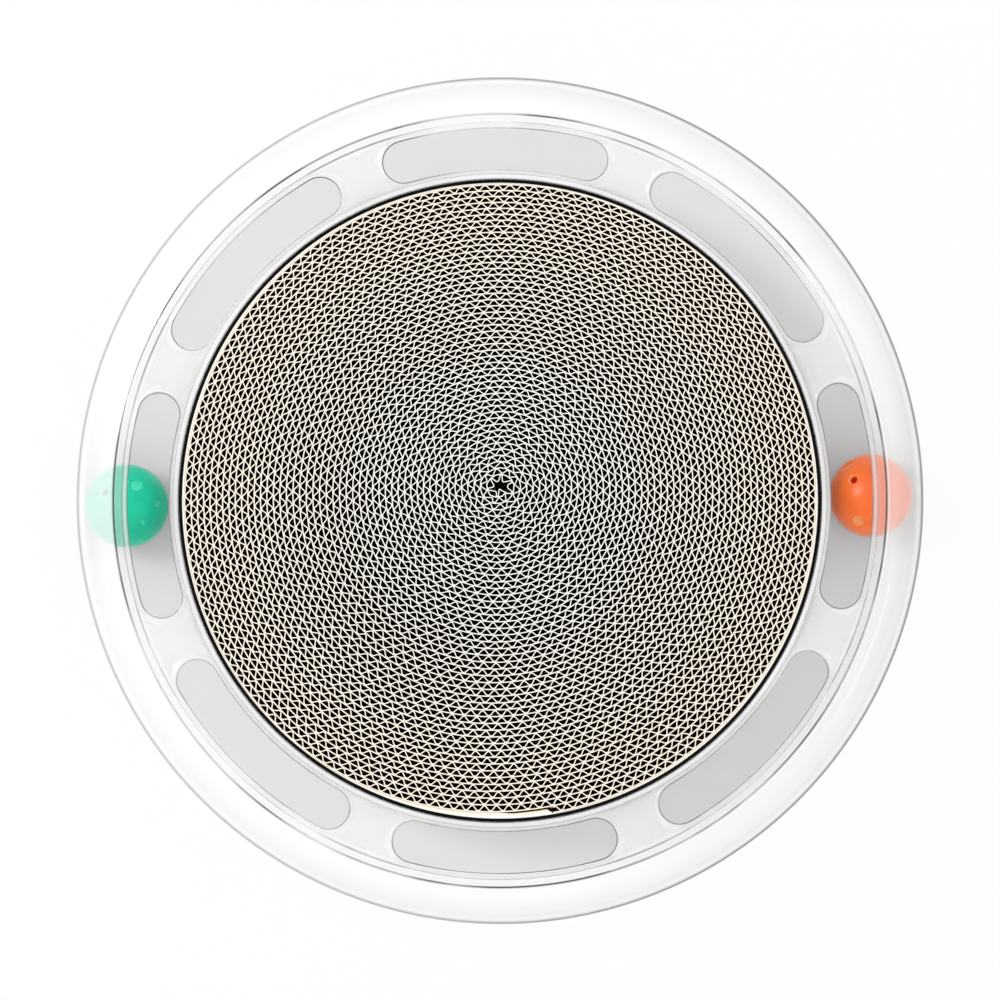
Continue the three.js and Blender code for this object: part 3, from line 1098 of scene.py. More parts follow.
        # Painted shade: dark lines at the crease, the step, the windows' rims and the lip, and grey tones on
        # the strip, beads and spokes.
        crease = dark.crease + dark.crease_between * between
        step = dark.step + dark.step_between * between
        corner = bump_at(fold, *(window.reach * share for share in spot.corner))
        rim = dark.rim + dark.outer_rim * outer_side + dark.corner * corner
        strip = smooth(r, window.outer, window.outer + spot.strip_fade) * (r < self.crease_radius)
        tone = dark.strip * strip
        tone = tone + dark.bead * bead * outer_side * band + dark.inner_lip * (r < window.inner)
        spoke = dark.between + dark.inner_between * (1 - smooth(r, window.inner, window.middle))
        line = np.maximum.reduce([
            crease * line_at(self.crease_radius, spot.crease_line),
            step * line_at(self.step_radius, spot.step_line),
            rim * (1 - smooth(np.abs(away), *spot.rim_fade)),
            dark.lip * line_at(self.flange_inner, spot.lip_line) * between,
            np.maximum(tone, spoke * between * band),
        ])
        bare = inside | ~high & (r < self.track_radius)
        return {Mark.HAZE: haze, Mark.LINE: np.where(bare, 0.0, line)}

    def build(self, groups: Groups) -> bpy.types.Object:
        """Builds and dresses the cover.

        Args:
            groups: The shared node groups.

        Returns:
            The piece.
        """
        skin = Skin()
        skin.add_turned(self.outer_profile(), self.segments)
        self.add_windowed_band(skin)
        skin.add_turned(self.lip_profile(), self.segments, 1)
        skin.add_turned(self.inner_profile(), self.segments, 1, Zone.INSIDE)
        milky = (0.985, 0.985, 0.985)
        outside = ClearPlastic("clear cover outside", milky).make(groups)
        inside = ClearPlastic("clear cover inside", milky, edge_depth=0.25, soft_depth=0.02).make(groups)
        marks = self.marks(skin.points(), skin.inside())
        obj = skin.build("cover_shell", [outside, inside], marks, merge=MERGE)
        return place(obj, Body.COVER, "clear_cover", ["track_cover"])


@dataclass
class Base:
    """Clear base: floor, bowl of the track and the stepped wall of the coil's well."""

    outer_radius: float = 204.0
    channel_outer: float = 200.9
    channel_inner: float = 158.6
    well_outer: float = 156.2
    well_inner: float = 154.0
    lower_well_inner: float = 156.4
    tongue_outer: float = 202.3
    underside: float = 2.0
    floor_top: float = 4.4
    ledge_top: float = 35.9
    shelf_foot: float = 33.7
    rim_top: float = 50.0
    lap_foot: float = 20.75
    tongue_top: float = 24.75
    corner: float = 15.0
    wall: float = 3.1
    rounding: float = 0.7
    bowl_inner: float = 181.5
    frosted_outer: float = 150.0
    frosted_middle: float = 90.0
    frosted_inner: float = 1.0
    inner_corner: float = 1.5
    chamfer: float = 0.2
    floor_haze: float = 0.9
    bowl_haze: float = 0.8
    bowl_fade: float = 0.62
    outer_haze: float = 0.16
    rim_haze: float = 0.8
    underside_haze: float = 0.2
    rim_shade: float = 0.16
    segments: int = 288

    def underside_section(self) -> Profile:
        """Profile of the frosted underside of the well."""
        return [(r, self.underside) for r in (self.frosted_inner, self.frosted_middle, self.frosted_outer)]

    def bowl_section(self) -> Profile:
        """Profile from the underside round the outer corner and lap, and down into the track."""
        inside = self.corner - self.wall
        chamfer = self.chamfer
        return [
            (self.frosted_outer, self.underside),
            (self.outer_radius - self.corner - 4, self.underside),
            *arc(self.outer_radius - self.corner, self.underside + self.corner, self.corner, -90, 0, 20),
            (self.outer_radius, self.lap_foot - 0.3),
            (self.outer_radius - 0.3, self.lap_foot),
            (self.tongue_outer, self.lap_foot),
            (self.tongue_outer, self.tongue_top - chamfer),
            (self.tongue_outer - chamfer, self.tongue_top),
            (self.channel_outer + chamfer, self.tongue_top),
            (self.channel_outer, self.tongue_top - chamfer),
            *arc(self.channel_outer - inside, self.floor_top + inside, inside, 0, -90, 18),
            (self.bowl_inner, self.floor_top),
        ]

    def floor_section(self) -> Profile:
        """Profile of the track's floor."""
        corner = self.inner_corner
        return [
            (self.bowl_inner, self.floor_top),
            (self.bowl_inner - 1.5, self.floor_top),
            (self.channel_inner + 8, self.floor_top),
            (self.channel_inner + 2.5, self.floor_top),
            *arc(self.channel_inner + corner, self.floor_top + corner, corner, -90, -180, 5),
        ]

    def rim_section(self) -> Profile:
        """Profile of the well's wall: up the track's side, over the rim and down into the well."""
        rim = self.rim_top - self.rounding
        return [
            (self.channel_inner, self.floor_top + self.inner_corner),
            (self.channel_inner, self.ledge_top - self.chamfer),
            (self.channel_inner - self.chamfer, self.ledge_top),
            (self.well_outer, self.ledge_top),
            (self.well_outer, rim),
            *arc(self.well_outer - self.rounding, rim, self.rounding, 0, 90, 5)[1:],
            *arc(self.well_inner + self.rounding, rim, self.rounding, 90, 180, 5),
            (self.well_inner, self.shelf_foot),
            (self.lower_well_inner, self.shelf_foot),
            (self.lower_well_inner, self.floor_top + 0.3),
            (self.lower_well_inner - 0.3, self.floor_top),
            (self.frosted_outer, self.floor_top),
        ]

    def well_section(self) -> Profile:
        """Profile of the frosted floor of the well."""
        return [(r, self.floor_top) for r in (self.frosted_outer, self.frosted_middle, self.frosted_inner)]

    def marks(self, points: np.ndarray) -> dict:
        """Paints the haze, and a dark line of painted shade along the well's rim.

        Args:
            points: The mesh's points.

        Returns:
            One value a point for each mask.
        """
        r, z = np.hypot(points[:, 0], points[:, 1]), points[:, 2]
        margin = 0.1
        above_floor = z > self.underside + 1
        channel = (r > self.channel_inner - margin) & above_floor & (r < self.channel_outer + margin)
        well = r < self.well_outer + margin
        floor = np.where(r < self.bowl_inner + margin, self.floor_haze, self.bowl_haze)
        floor = floor - self.bowl_fade * smooth(z, self.floor_top + 1, self.lap_foot)
        haze = np.where(channel, floor, self.outer_haze)
        haze = np.where(well & (z > self.shelf_foot), self.rim_haze, haze)
        haze = np.where(z < self.underside + 0.5, self.underside_haze, haze)
        line = self.rim_shade * well * (z > self.rim_top - 2)
        return {Mark.HAZE: haze, Mark.LINE: line}

    def build(self, groups: Groups) -> bpy.types.Object:
        """Builds and dresses the base.

        Args:
            groups: The shared node groups.

        Returns:
            The piece.
        """
        skin = Skin()
        sections = (
            (self.underside_section(), 2), (self.bowl_section(), 1), (self.floor_section(), 0),
            (self.rim_section(), 1), (self.well_section(), 2),
        )
        for section, slot in sections:
            starts = skin.add_turned(section, self.segments, slot)
            for start, (r, z) in ((starts[0], section[0]), (starts[-1], section[-1])):
                if r <= self.frosted_inner:
                    skin.close(start, self.segments, np.array([0.0, 0.0, z]), z <= self.underside, slot)
        # The track's floor is a grey haze, partly painted shade for the channel.
        floor = ClearPlastic("clear base floor", (0.74, 0.74, 0.74), edge_depth=0.3).make(groups)
        bowl = ClearPlastic("clear base", (0.95, 0.95, 0.95), edge_depth=0.3).make(groups)
        frosted = ClearPlastic("frosted well floor", (0.5, 0.47, 0.44), roughness=0.6, gloss=0.0)
        materials = [floor, bowl, frosted.make(groups)]
        obj = skin.build("base_bowl", materials, self.marks(skin.points()), merge=MERGE)
        return place(obj, Body.BASE, "clear_base", ["base_tray"])


@dataclass
class Pads:
    """Soft anti-slip pads under the base."""

    count: int = 6
    radius: float = 13.0
    circle: float = 118.0
    height: float = 2.0
    rounding: float = 0.5
    recess: float = 0.25
    rim_width: float = 3.0
    segments: int = 64

    def profile(self) -> Profile:
        """Profile from the middle of the recessed foot round the side to the middle of the top."""
        return [
            (0.4, self.recess), (self.radius - self.rim_width, self.recess),
            (self.radius - self.rim_width + 0.6, 0.0), (self.radius - self.rounding, 0.0),
            (self.radius - 0.15, 0.15), (self.radius, self.rounding), (self.radius, self.height),
            (0.4, self.height),
        ]

    def build(self, groups: Groups) -> list[bpy.types.Object]:
        """Builds and dresses the pads.

        Args:
            groups: The shared node groups.

        Returns:
            The pieces.
        """
        rubber = SatinPlastic("pad rubber", (0.62, 0.64, 0.65), 0.55, grain=0.3).make(groups)
        made = []
        for k in range(self.count):
            angle = 2 * math.pi * k / self.count
            centre = np.array([self.circle * math.cos(angle), self.circle * math.sin(angle), 0.0])
            skin = Skin()
            starts = skin.add_loops([ring(r, z, self.segments) + centre for r, z in self.profile()])
            skin.close(starts[0], self.segments, centre + [0, 0, self.recess], True)
            skin.close(starts[-1], self.segments, centre + [0, 0, self.height])
            obj = skin.build(f"pad_{k + 1}", [rubber])
            made.append(place(obj, Body.BASE, "pad_rubber", [f"anti_slip_pad_{k + 1}"]))
        return made


@dataclass
class Coil:
    """Scratching coil: one strip of single-faced corrugated card, wound clockwise from the eye out.

    The flutes lie inside the flat liner. The last turns run at an even radius and step out in one place,
    which starts a little before the strip's end.
    """

    radius: float = 151.2
    eye_ring: float = 4.4
    turns: float = 48.1
    step_angle: float = 290.0
    overlap: float = 0.031
    step_share: float = 0.18
    step_fade: float = 32.0
    step_full: float = 12.0
    eye_shift: tuple[float, float] = (-0.5, 6.4)
    shift_power: float = 1.7
    oval: float = 0.4
    oval_angle: float = 60.0
    slow_wave: float = 0.25
    slow_wave_start: float = 0.9
    fast_wave: float = 0.15
    fast_wave_drift: float = 25.0
    bottom: float = 4.7
    top: float = 48.7
    liner: float = 0.55
    flute: float = 0.51
    eye_thinning: float = 0.12
    flute_pitch: float = 5.92
    arch: tuple[float, ...] = (-0.11, 0.11, 0.37, 0.44, 0.56, 0.63)
    petal: tuple[float, ...] = (-0.08, 0.08, 0.26, 0.42, 0.58, 0.74)
    swing: tuple[float, ...] = (1.0, 1.0, -0.7, -1.0, -1.0, -0.7)
    petals: int = 5
    petal_reach: float = 0.75
    petal_range: Span = (-0.5, 0.3)
    bond: float = 0.04
    whole_flute_share: float = 0.7
    jitter: float = 0.022
    eye_jitter: float = 0.05
    eye_flutes: float = 30.0
    liner_step: float = 2.9
    least_step: float = 0.02
    least_turn: float = 0.2
    widest_corner: float = 1.5
    uneven_top: float = 0.22
    seed: int = 11

    def __post_init__(self) -> None:
        """Works out the distance from turn to turn and where the strip ends."""
        self.pitch = (self.radius - self.liner / 2 - self.eye_ring) / self.turns
        self.end = self.turns + self.overlap

    def at(self, turn: np.ndarray, outward: np.ndarray) -> np.ndarray:
        """Points on the spiral, as (x, y).

        Args:
            turn: Turns of the liner counted from the eye.
            outward: Distance out from the liner's middle line.

        Returns:
            The points.
        """
        share = (turn - self.turns) % 1
        stepped = smooth(share, 0, self.step_share)
        weight = smooth(turn, self.turns - self.step_fade, self.turns - self.step_full)
        r = self.eye_ring + self.pitch * (turn + weight * (stepped - share)) + outward
        angle = math.radians(self.step_angle) + 2 * math.pi * (self.turns - turn)
        reach = np.clip(r / self.radius, 0, 1)
        slack = 1 - reach**self.shift_power
        oval = self.oval * reach * np.cos(2 * (angle - math.radians(self.oval_angle)))
        wave = self.slow_wave * np.sin(2 * angle + self.slow_wave_start)
        wave = wave + self.fast_wave * np.sin(5 * angle + r / self.fast_wave_drift)
        bent = r + oval + (1 - reach) * wave
        shift_x, shift_y = self.eye_shift
        return np.stack([
            shift_x * slack + bent * np.cos(angle), shift_y * slack + bent * np.sin(angle),
        ], axis=1)

    def ribbon(self, name: str, path: np.ndarray, thickness: float, material: bpy.types.Material,
               rng: np.random.Generator) -> bpy.types.Object:
        """Stands a strip on its edge along a path.

        Args:
            name: The piece's name.
            path: The strip's middle line, as (x, y).
            thickness: The strip's thickness.
            material: Its material.
            rng: Source of the small height differences.

        Returns:
            The object.
        """
        apart = np.linalg.norm(np.diff(path, axis=0), axis=1) > self.least_step
        path = path[np.concatenate([[True], apart])]
        step = np.diff(path, axis=0)
        step /= np.linalg.norm(step, axis=1)[:, None]
        across = np.stack([-step[:, 1], step[:, 0]], axis=1)
        before = np.concatenate([across[:1], across])
        after = np.concatenate([across, across[-1:]])
        joined = before + after
        joined /= np.linalg.norm(joined, axis=1)[:, None]
        turned = np.maximum((joined * before).sum(axis=1), self.least_turn)
        reach = np.clip(1 / turned, 1, self.widest_corner)
        outward = np.linalg.norm(path, axis=1) / self.radius
        width = thickness * (1 - self.eye_thinning * (1 - smooth(outward, 0, 1)))
        side = joined * (reach * width / 2)[:, None]
        top = self.top - self.uneven_top * rng.random(len(path))
        low = np.full(len(path), self.bottom)
        left, right = path + side, path - side
        corners = [
            np.column_stack([left, low]), np.column_stack([right, low]),
            np.column_stack([right, top]), np.column_stack([left, top]),
        ]
        skin = Skin()
        starts = [skin.add_points(corner) for corner in corners]
        for k in range(4):
            skin.join(starts[(k + 1) % 4], starts[k], len(path), closed=False)
        last = len(path) - 1
        skin.add_faces(np.array([[starts[3], starts[2], starts[1], starts[0]]]))
        skin.add_faces(np.array([[start + last for start in starts]]))
        return skin.build(name, [material], sharp=30.0)

    def liner_path(self) -> np.ndarray:
        """Middle line of the flat liner, with points about 3 mm apart."""
        start, end = self.eye_ring, self.radius
        count = int(math.pi * (start + end) * self.turns / self.liner_step)
        r = np.sqrt(start**2 + (end**2 - start**2) * np.linspace(0, 1, count))
        turn = (r - start) / (end - start) * self.end
        return self.at(turn, np.zeros(count))

    def flute_path(self, rng: np.random.Generator) -> np.ndarray:
        """Middle line of the fluted paper: round tips on the turn inside it, sharper feet on its own liner.

        Args:
            rng: Source of the small differences from flute to flute.

        Returns:
            The points as (x, y).
        """
        first, last = self.eye_ring, self.radius
        count = int(math.pi * (first + last) * (self.turns + 2 * self.overlap) / self.flute_pitch)
        near = np.exp(-np.arange(count) / self.eye_flutes)[:, None]
        open_share = 1 - smooth(np.arange(count), self.petals, self.petals + 2)[:, None]
        arch, petal = (np.array(phases)[None, :] for phases in (self.arch, self.petal))
        spread = self.jitter + self.eye_jitter * near
        phase = np.arange(count)[:, None] + arch + (petal - arch) * open_share
        phase += rng.normal(0, self.whole_flute_share, (count, 1)) * spread
        phase[:, 2:] += rng.normal(0, 1, (count, 1)) * spread
        travel = np.maximum.accumulate(np.maximum(phase.ravel(), 0)) * self.flute_pitch
        turn = (np.sqrt(first**2 + travel * self.pitch / math.pi) - first) / self.pitch
        swing = np.array(self.swing)[None, :] * np.ones((count, 1))
        height = (self.pitch - self.liner - self.flute) / 2 + self.bond
        deeper = self.petal_reach * open_share * (1 + rng.uniform(*self.petal_range, (count, 1)))
        swing = (swing * height + np.minimum(swing, 0) * deeper).ravel()
        on_strip = turn < self.end
        return self.at(turn[on_strip], swing[on_strip] - self.pitch / 2)

    def build(self, groups: Groups) -> list[bpy.types.Object]:
        """Builds and dresses the liner and the flutes.

        Args:
            groups: The shared node groups.

        Returns:
            The pieces.
        """
        rng = np.random.default_rng(self.seed)
        card = CutCard().make(groups)
        liner = self.ribbon("coil_liner", self.liner_path(), self.liner, card, rng)
        flutes = self.ribbon("coil_flutes", self.flute_path(rng), self.flute, card, rng)
        return [place(obj, Body.REFILL, "corrugated_card", ["scratch_coil"]) for obj in (liner, flutes)]


@dataclass
class Wrapper:
    """Paper wrapper round the coil, which fills the wedge beyond the strip's tail."""

    outer: float = 152.0
    gap: float = 0.06
    tail_gap: float = 0.8
    tail_share: float = 0.028
    tail_blend: float = 0.7
    least_wall: float = 0.5
    below_top: float = 0.05
    rounding: float = 0.2
    tone_edges: Profile = ((1.5, 0.55), (0.8, 0.3))
    segments: int = 360

    def build(self, coil: Coil, groups: Groups) -> bpy.types.Object:
        """Builds and dresses the wrapper.

        Args:
            coil: The coil that it goes round.
            groups: The shared node groups.

        Returns:
            The piece.
        """
        turn = coil.end - np.arange(self.segments) / self.segments
        tail = coil.end - 1
        open_tail = 1 - smooth(turn, tail + self.tail_share * self.tail_blend, tail + self.tail_share)
        inner = coil.at(turn, coil.liner / 2 + self.gap + self.tail_gap * open_tail)
        reach = np.linalg.norm(inner, axis=1)
        inner *= np.minimum(1, (self.outer - self.least_wall) / reach)[:, None]
        angles = np.arctan2(inner[:, 1], inner[:, 0])
        outer = np.stack([np.cos(angles), np.sin(angles)], axis=1)

        def loop(xy: np.ndarray, z: float) -> np.ndarray:
            """Gives flat points a height."""
            return np.column_stack([xy, np.full(len(xy), z)])

        skin = Skin()
        top, low = coil.top - self.below_top, coil.bottom
        shoulder = top - self.rounding
        width = self.outer - np.linalg.norm(inner, axis=1)
        tone_edges = [
            inner + outer * np.minimum(most, share * width)[:, None] for most, share in self.tone_edges
        ]
        white_loops = [
            loop(outer * self.outer, low), loop(outer * self.outer, shoulder),
            loop(outer * (self.outer - self.rounding), top), loop(tone_edges[0], top),
        ]
        cream_loops = [
            loop(tone_edges[1], top), loop(inner * 1.0008, top), loop(inner, shoulder), loop(inner, low),
        ]
        starts = skin.add_loops(white_loops + cream_loops)
        skin.join(starts[-1], starts[0], self.segments)
        cream = np.repeat([0.0, 1.0], len(cream_loops) * self.segments)
        white, tone, fleck = (0.985, 0.98, 0.965), (0.93, 0.86, 0.66), (0.86, 0.80, 0.68)
        paper = Paper("wrapper paper", white, tone, fleck).make(groups)
        obj = skin.build("coil_wrap", [paper], {Mark.CREAM: cream})
        return place(obj, Body.REFILL, "wrapper_paper", ["coil_wrapper"])


@dataclass
class EdgeBand:
    """Black band round the coil's top edge."""

    inner: float = 152.05
    outer: float = 153.62
    top: float = 48.9
    height: float = 9.0
    segments: int = 288

    def build(self, groups: Groups) -> bpy.types.Object:
        """Builds and dresses the band.

        Args:
            groups: The shared node groups.

        Returns:
            The piece.
        """
        foot = self.top - self.height
        profile = [
            (self.inner, foot), (self.outer, foot), (self.outer, self.top - 0.4),
            (self.outer - 0.12, self.top - 0.12), (self.outer - 0.4, self.top),
            (self.inner + 0.3, self.top), (self.inner, self.top - 0.3),
        ]
        skin = Skin()
        starts = skin.add_turned(profile, self.segments)
        skin.join(starts[-1], starts[0], self.segments)
        black = SatinPlastic("black band", (0.004, 0.004, 0.004), 0.6, shine=0.05, shade=0.6).make(groups)
        obj = skin.build("edge_band", [black])
        return place(obj, Body.REFILL, "black_band", ["coil_edge_band"])


@dataclass(frozen=True)
class Dimple:
    """A mark on a ball: a hole, or a crater of the given width, at a tilt and heading in degrees."""

    tilt: float
    heading: float
    crater: float = 0.0

    def direction(self) -> np.ndarray:
        """Outward direction from the ball's centre."""
        tilt, heading = math.radians(self.tilt), math.radians(self.heading)
        return np.array([
            math.sin(tilt) * math.cos(heading), math.sin(tilt) * math.sin(heading), math.cos(tilt),
        ])


@dataclass
class Ball:
    """Hollow ball of two welded halves, with holes and craters."""

    name: str
    body: Body
    slot: str
    centre: tuple[float, float, float]
    dimples: tuple[Dimple, ...]
    finish: SatinPlastic
    radius: float = 20.0
    wall: float = 1.8
    hole: float = 3.6
    countersink: float = 5.6
    crater_depth: float = 1.0
    crater_edge: Span = (-0.75, 0.1)
    mouth_depth: float = 0.8
    # How strongly and where craters and mouths are painted lighter, as light shining through:
    thin_crater: Span = (0.55, 0.6)
    thin_mouth: Span = (0.45, 0.05)
    thin_fade: float = 0.3
    seam: float = 0.05
    around: int = 256
    rows: int = 72
    inner_rows: int = 24
    pole: float = 0.012
    inner_pole: float = 0.02
    hole_segments: int = 48

    def spots(self) -> Iterator[tuple[Dimple, np.ndarray]]:
        """Every mark with its direction, here and on the opposite side of the ball."""
        for dimple in self.dimples:
            for side in (1, -1):
                yield dimple, dimple.direction() * side

    def away(self, unit: np.ndarray, direction: np.ndarray) -> np.ndarray:
        """Distance over the ball from a direction to each unit vector."""
        return np.arccos(np.clip(unit @ direction, -1, 1)) * self.radius

    def level_loops(self, radius: float, tilts: np.ndarray, upper: bool) -> list[np.ndarray]:
        """Level circles on a half sphere.

        Args:
            radius: The sphere's radius.
            tilts: Their angles from the pole in radians.
            upper: Whether they lie on the upper half.

        Returns:
            The circles' points.
        """
        turn = np.arange(self.around) * 2 * math.pi / self.around
        loops = [
            radius * np.stack([
                np.sin(t) * np.cos(turn), np.sin(t) * np.sin(turn), np.full(self.around, math.cos(t)),
            ], axis=1)
            for t in tilts
        ]
        return loops if upper else [(loop * [1, 1, -1])[::-1] for loop in loops]

    def half(self, upper: bool, material: bpy.types.Material) -> bpy.types.Object:
        """Builds the upper or the lower half.

        Args:
            upper: Whether it is the upper half.
            material: Its material.

        Returns:
            The object, about the ball's own centre.
        """
        inner_radius = self.radius - self.wall
        outer_tilts = np.linspace(math.acos(self.seam / self.radius), self.pole, self.rows + 1)
        inner_tilts = np.linspace(self.inner_pole, math.acos(self.seam / inner_radius), self.inner_rows + 1)
        outer = [self.pressed(loop) for loop in self.level_loops(self.radius, outer_tilts, upper)]
        inner = self.level_loops(inner_radius, inner_tilts, upper)
        skin = Skin()
        starts = skin.add_loops(outer)
        skin.close(starts[-1], self.around, outer[-1].mean(axis=0))
        inside = skin.add_loops(inner)
        skin.close(inside[0], self.around, inner[0].mean(axis=0), True)
        skin.join(inside[-1], starts[0], self.around)
        label = "upper" if upper else "lower"
        obj = skin.build(f"{self.name}_{label}", [material], sharp=50.0)
        self.drill(obj)
        self.paint(obj.data)
        finish_shading(obj.data, 35.0)
        obj.data.transform(Matrix.Translation(Vector(self.centre) * MM))
        return place(obj, self.body, self.slot, [f"{self.name}_{label}_half"])

    def pressed(self, loop: np.ndarray) -> np.ndarray:
        """Presses the craters into points on the ball."""
        out = loop.copy()
        unit = loop / self.radius
        for dimple, direction in self.spots():
            if dimple.crater:
                reach = dimple.crater * 0.5
                edge = (reach + shift for shift in self.crater_edge)
                share = 1 - smooth(self.away(unit, direction), *edge)
                out -= unit * (self.crater_depth * share)[:, None]
        return out

    def paint(self, mesh: bpy.types.Mesh) -> None:
        """Marks what faces the hollow, and where the wall is thin and painted lighter, as if light shone
        through it: the craters and the holes' mouths.

        Args:
            mesh: The half's mesh, about the ball's own centre.
        """
        points = np.empty(len(mesh.vertices) * 3)
        mesh.vertices.foreach_get("co", points)
        points = points.reshape(-1, 3) / MM
        far = np.linalg.norm(points, axis=1)
        unit = points / far[:, None]
        thin = np.zeros(len(points))
        for dimple, direction in self.spots():
            depth, inset = self.thin_crater if dimple.crater else self.thin_mouth
            start = (dimple.crater or self.countersink) * 0.5 - inset
            fade = smooth(self.away(unit, direction), start, start + self.thin_fade)
            thin = np.maximum(thin, depth * (1 - fade))
        hollow = far < self.radius - self.wall + 0.2
        for mark, values in ((Mark.THIN, np.where(hollow, 0.0, thin)), (Mark.HOLLOW, hollow.astype(float))):
            mesh.attributes.new(mark.value, "FLOAT", "POINT").data.foreach_set("value", values)

    def drill(self, obj: bpy.types.Object) -> None:
        """Cuts the holes with their countersunk mouths.

        Args:
            obj: The half that is cut.
        """
        for dimple, direction in self.spots():
            same_half = (direction[2] > 0) == ("upper" in obj.name)
            if same_half and not dimple.crater:
                self.cut(obj, direction)

    def cut(self, obj: bpy.types.Object, direction: np.ndarray) -> None:
        """Cuts one hole along a direction from the ball's centre.

        Args:
            obj: The half that is cut.
            direction: Outward direction of the hole.
        """
        hole, sink, clear = self.hole / 2, self.countersink / 2, 3
        mouth = self.radius - self.mouth_depth
        profile = [
            (hole, self.radius - self.wall - clear), (hole, mouth - 0.15), (hole + 0.25, mouth + 0.05),
            (sink, self.radius - 0.03), (sink + 0.5, self.radius + 0.3), (sink + 0.5, self.radius + clear),
        ]
        skin = Skin()
        starts = skin.add_turned(profile, self.hole_segments)
        for end, inward in ((-1, False), (0, True)):
            skin.close(starts[end], self.hole_segments, np.array([0.0, 0.0, profile[end][1]]), inward)
        tool = skin.build("hole_cutter", [])
        tool.data.transform(Vector(direction).to_track_quat("Z", "Y").to_matrix().to_4x4())
        modifier = obj.modifiers.new("hole", "BOOLEAN")
        modifier.object = tool
        modifier.operation = "DIFFERENCE"
        modifier.solver = "EXACT"
        bpy.context.view_layer.update()
        shaped = bpy.data.meshes.new_from_object(obj.evaluated_get(bpy.context.evaluated_depsgraph_get()))
        obj.modifiers.clear()
        shaped.name = obj.data.name
        obj.data = shaped
        bpy.data.objects.remove(tool)

    def build(self, groups: Groups) -> list[bpy.types.Object]:
        """Builds and dresses both halves.

        Args:
            groups: The shared node groups.

        Returns:
            The pieces.
        """
        material = self.finish.make(groups)
        return [self.half(upper, material) for upper in (True, False)]


MINT = Ball(
    "mint_ball", Body.MINT, "mint_plastic", (-179.9, 0.0, 24.7),
    (
        Dimple(37, 144), Dimple(35, 60, 6.8), Dimple(36, -44, 3.6), Dimple(52, 4, 5), Dimple(66, -58, 4),
        Dimple(62, -140),
    ),
    SatinPlastic(
        "mint plastic", colour=(0.003, 0.62, 0.38), roughness=0.36, glow=0.5, glow_radius=(0.2, 1.0, 0.8),
        coat=0.3, shine=0.15, shine_through_colour=(0.12, 0.95, 0.62), hollow_colour=(0.0, 0.07, 0.04), muted=0.9,
    ),
)
ORANGE = Ball(
    "orange_ball", Body.ORANGE, "orange_plastic", (178.8, 0.0, 24.7),
    (
        Dimple(38, 140), Dimple(47, -121, 7.2), Dimple(56, 4, 4), Dimple(70, 129, 6), Dimple(66, -40),
    ),
    SatinPlastic(
        "orange plastic", colour=(1.0, 0.17, 0.012), roughness=0.36, glow=0.6, glow_radius=(1.0, 0.3, 0.1),
        coat=0.8, shine=0.15, shine_through_colour=(1.0, 0.42, 0.15), hollow_colour=(0.17, 0.006, 0.001), muted=0.9,
    ),
)


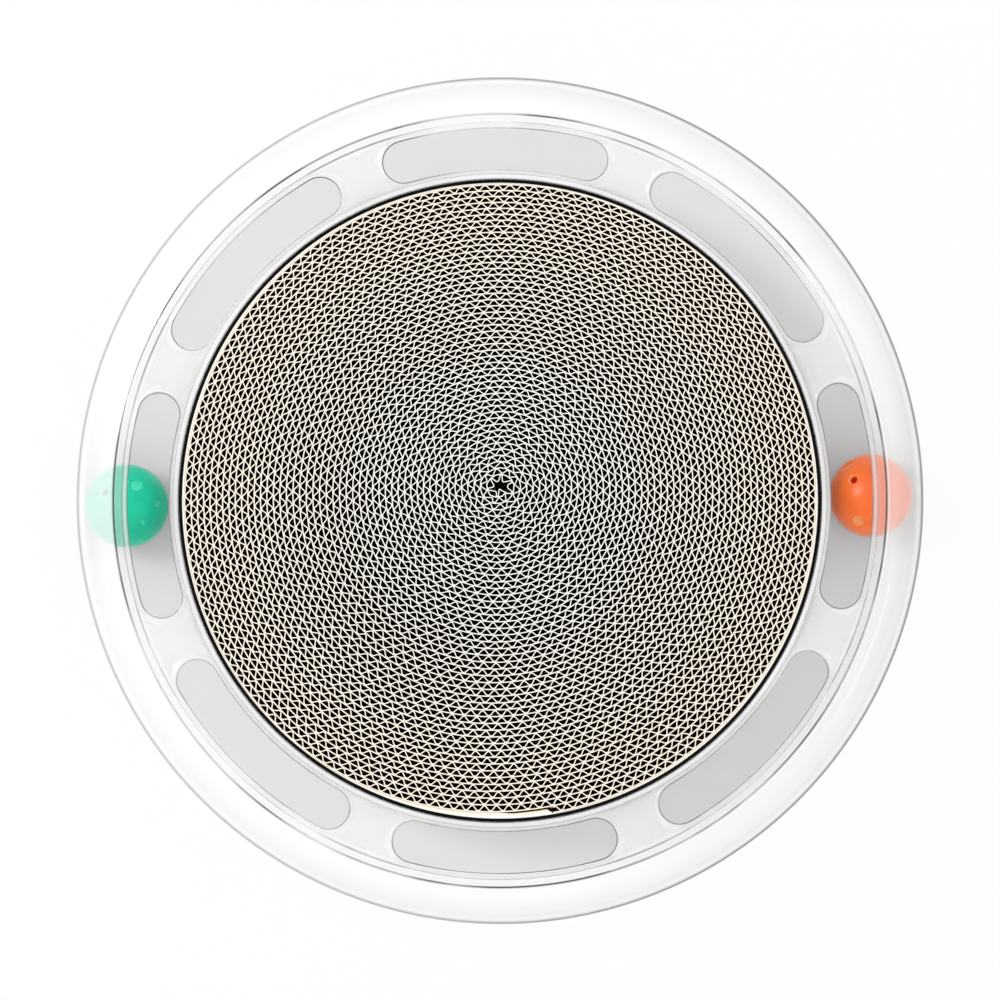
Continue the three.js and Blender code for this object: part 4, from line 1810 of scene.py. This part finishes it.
@dataclass
class Studio:
    """Plain white studio: floor, soft lamps and the camera of the photograph."""

    camera_height: float = 3000.0
    ball_height: float = 24.7
    pixel: float = 0.4819
    pixels: int = 1000
    roll: float = 0.8
    centre_below: float = 0.7
    sensor: float = 36.0
    floor_size: float = 14.0
    floor_grey: float = 0.88
    floor_glow: float = 0.9
    world_level: float = 0.90
    key_place: tuple[float, float, float] = (-1.3, 0.55, 1.7)
    key_size: float = 0.55
    key_power: float = 12.0
    fill_place: tuple[float, float, float] = (1.5, -0.9, 1.6)
    fill_size: float = 1.6
    fill_share: float = 0.15

    def camera(self) -> bpy.types.Object:
        """Makes the camera, which looks straight down.

        Returns:
            The camera.
        """
        data = bpy.data.cameras.new("camera")
        data.type = "PERSP"
        data.sensor_width = self.sensor
        data.lens = self.sensor * (self.camera_height - self.ball_height) / (self.pixel * self.pixels)
        data.clip_start = 0.05
        data.clip_end = 60.0
        obj = bpy.data.objects.new("camera", data)
        roll = math.radians(self.roll)
        up = self.centre_below * self.pixel
        obj.location = (up * math.sin(roll) * MM, up * math.cos(roll) * MM, self.camera_height * MM)
        obj.rotation_euler = (0.0, 0.0, -roll)
        bpy.context.scene.collection.objects.link(obj)
        bpy.context.scene.camera = obj
        return obj

    def lamp(self, name: str, spot: tuple[float, float, float], size: float,
             power: float) -> bpy.types.Object:
        """Hangs a soft square lamp that points at the toy.

        Args:
            name: The lamp's name.
            spot: Its place in metres.
            size: Its side in metres.
            power: Its power in watts.

        Returns:
            The lamp.
        """
        data = bpy.data.lights.new(name, "AREA")
        data.shape = "SQUARE"
        data.size = size
        data.energy = power
        obj = bpy.data.objects.new(name, data)
        obj.location = spot
        obj.rotation_euler = (-Vector(spot)).to_track_quat("-Z", "Y").to_euler()
        bpy.context.scene.collection.objects.link(obj)
        return obj

    def floor(self) -> bpy.types.Object:
        """Lays the white floor, which keeps the toy's shadow.

        Returns:
            The floor.
        """
        half = self.floor_size / 2 / MM
        skin = Skin()
        skin.add_points(np.array([[-half, -half, 0], [half, -half, 0], [half, half, 0], [-half, half, 0]]))
        skin.add_faces(np.array([[0, 1, 2, 3]]))
        material, graph, output = new_material("studio floor")
        rays = graph.node("ShaderNodeLightPath")
        seen = graph.math("MAXIMUM", rays.outputs["Is Camera Ray"], rays.outputs["Is Glossy Ray"])
        seen = graph.math("MAXIMUM", seen, rays.outputs["Is Transmission Ray"])
        open_floor = graph.math("LESS_THAN", rays.outputs["Transparent Depth"], 0.5)
        seen = graph.math("MULTIPLY", seen, open_floor)
        grey = (self.floor_grey, self.floor_grey, self.floor_grey, 1.0)
        matt = graph.node("ShaderNodeBsdfDiffuse", {"Color": grey})
        glow = graph.node("ShaderNodeEmission", {"Color": WHITE, "Strength": 1.0})
        mixed = graph.node("ShaderNodeMixShader", {
            0: graph.math("MULTIPLY", seen, self.floor_glow), 1: matt.outputs[0], 2: glow.outputs[0],
        })
        graph.feed(output.inputs["Surface"], mixed.outputs[0])
        obj = skin.build("floor", [material])
        obj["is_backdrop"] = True
        return obj

    def world(self) -> None:
        """Sets the even light from all round, and white where the camera sees past the floor."""
        world = bpy.data.worlds.new("studio")
        bpy.context.scene.world = world
        world.use_nodes = True
        world.node_tree.nodes.clear()
        graph = Graph(world.node_tree)
        output = graph.node("ShaderNodeOutputWorld")
        rays = graph.node("ShaderNodeLightPath")
        seen = graph.math("MAXIMUM", rays.outputs["Is Camera Ray"], rays.outputs["Is Transmission Ray"])
        level = graph.math("ADD", graph.math("MULTIPLY", seen, 1.0 - self.world_level), self.world_level)
        sky = graph.node("ShaderNodeBackground", {"Color": WHITE, "Strength": level})
        graph.feed(output.inputs["Surface"], sky.outputs[0])

    def build(self) -> None:
        """Builds the studio."""
        scene = bpy.context.scene
        scene.view_settings.view_transform = "Standard"
        scene.cycles.transparent_max_bounces = 24
        self.world()
        self.floor()
        self.lamp("key", self.key_place, self.key_size, self.key_power)
        self.lamp("fill", self.fill_place, self.fill_size, self.key_power * self.fill_share)
        self.camera()


def corners(box: tuple) -> list[list[float]]:
    """A pair of corners as plain lists of numbers."""
    return [list(corner) for corner in box]


def main() -> None:
    """Builds the toy piece by piece, then the studio."""
    frame_box = corners(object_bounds())
    groups = Groups.build()
    coil = Coil()
    Base().build(groups)
    Cover().build(groups)
    coil.build(groups)
    Wrapper().build(coil, groups)
    EdgeBand().build(groups)
    MINT.build(groups)
    ORANGE.build(groups)
    Pads().build(groups)
    Studio().build()
    {"frame": frame_box, "visual": corners(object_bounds())}


if __name__ == "__main__":
    main()
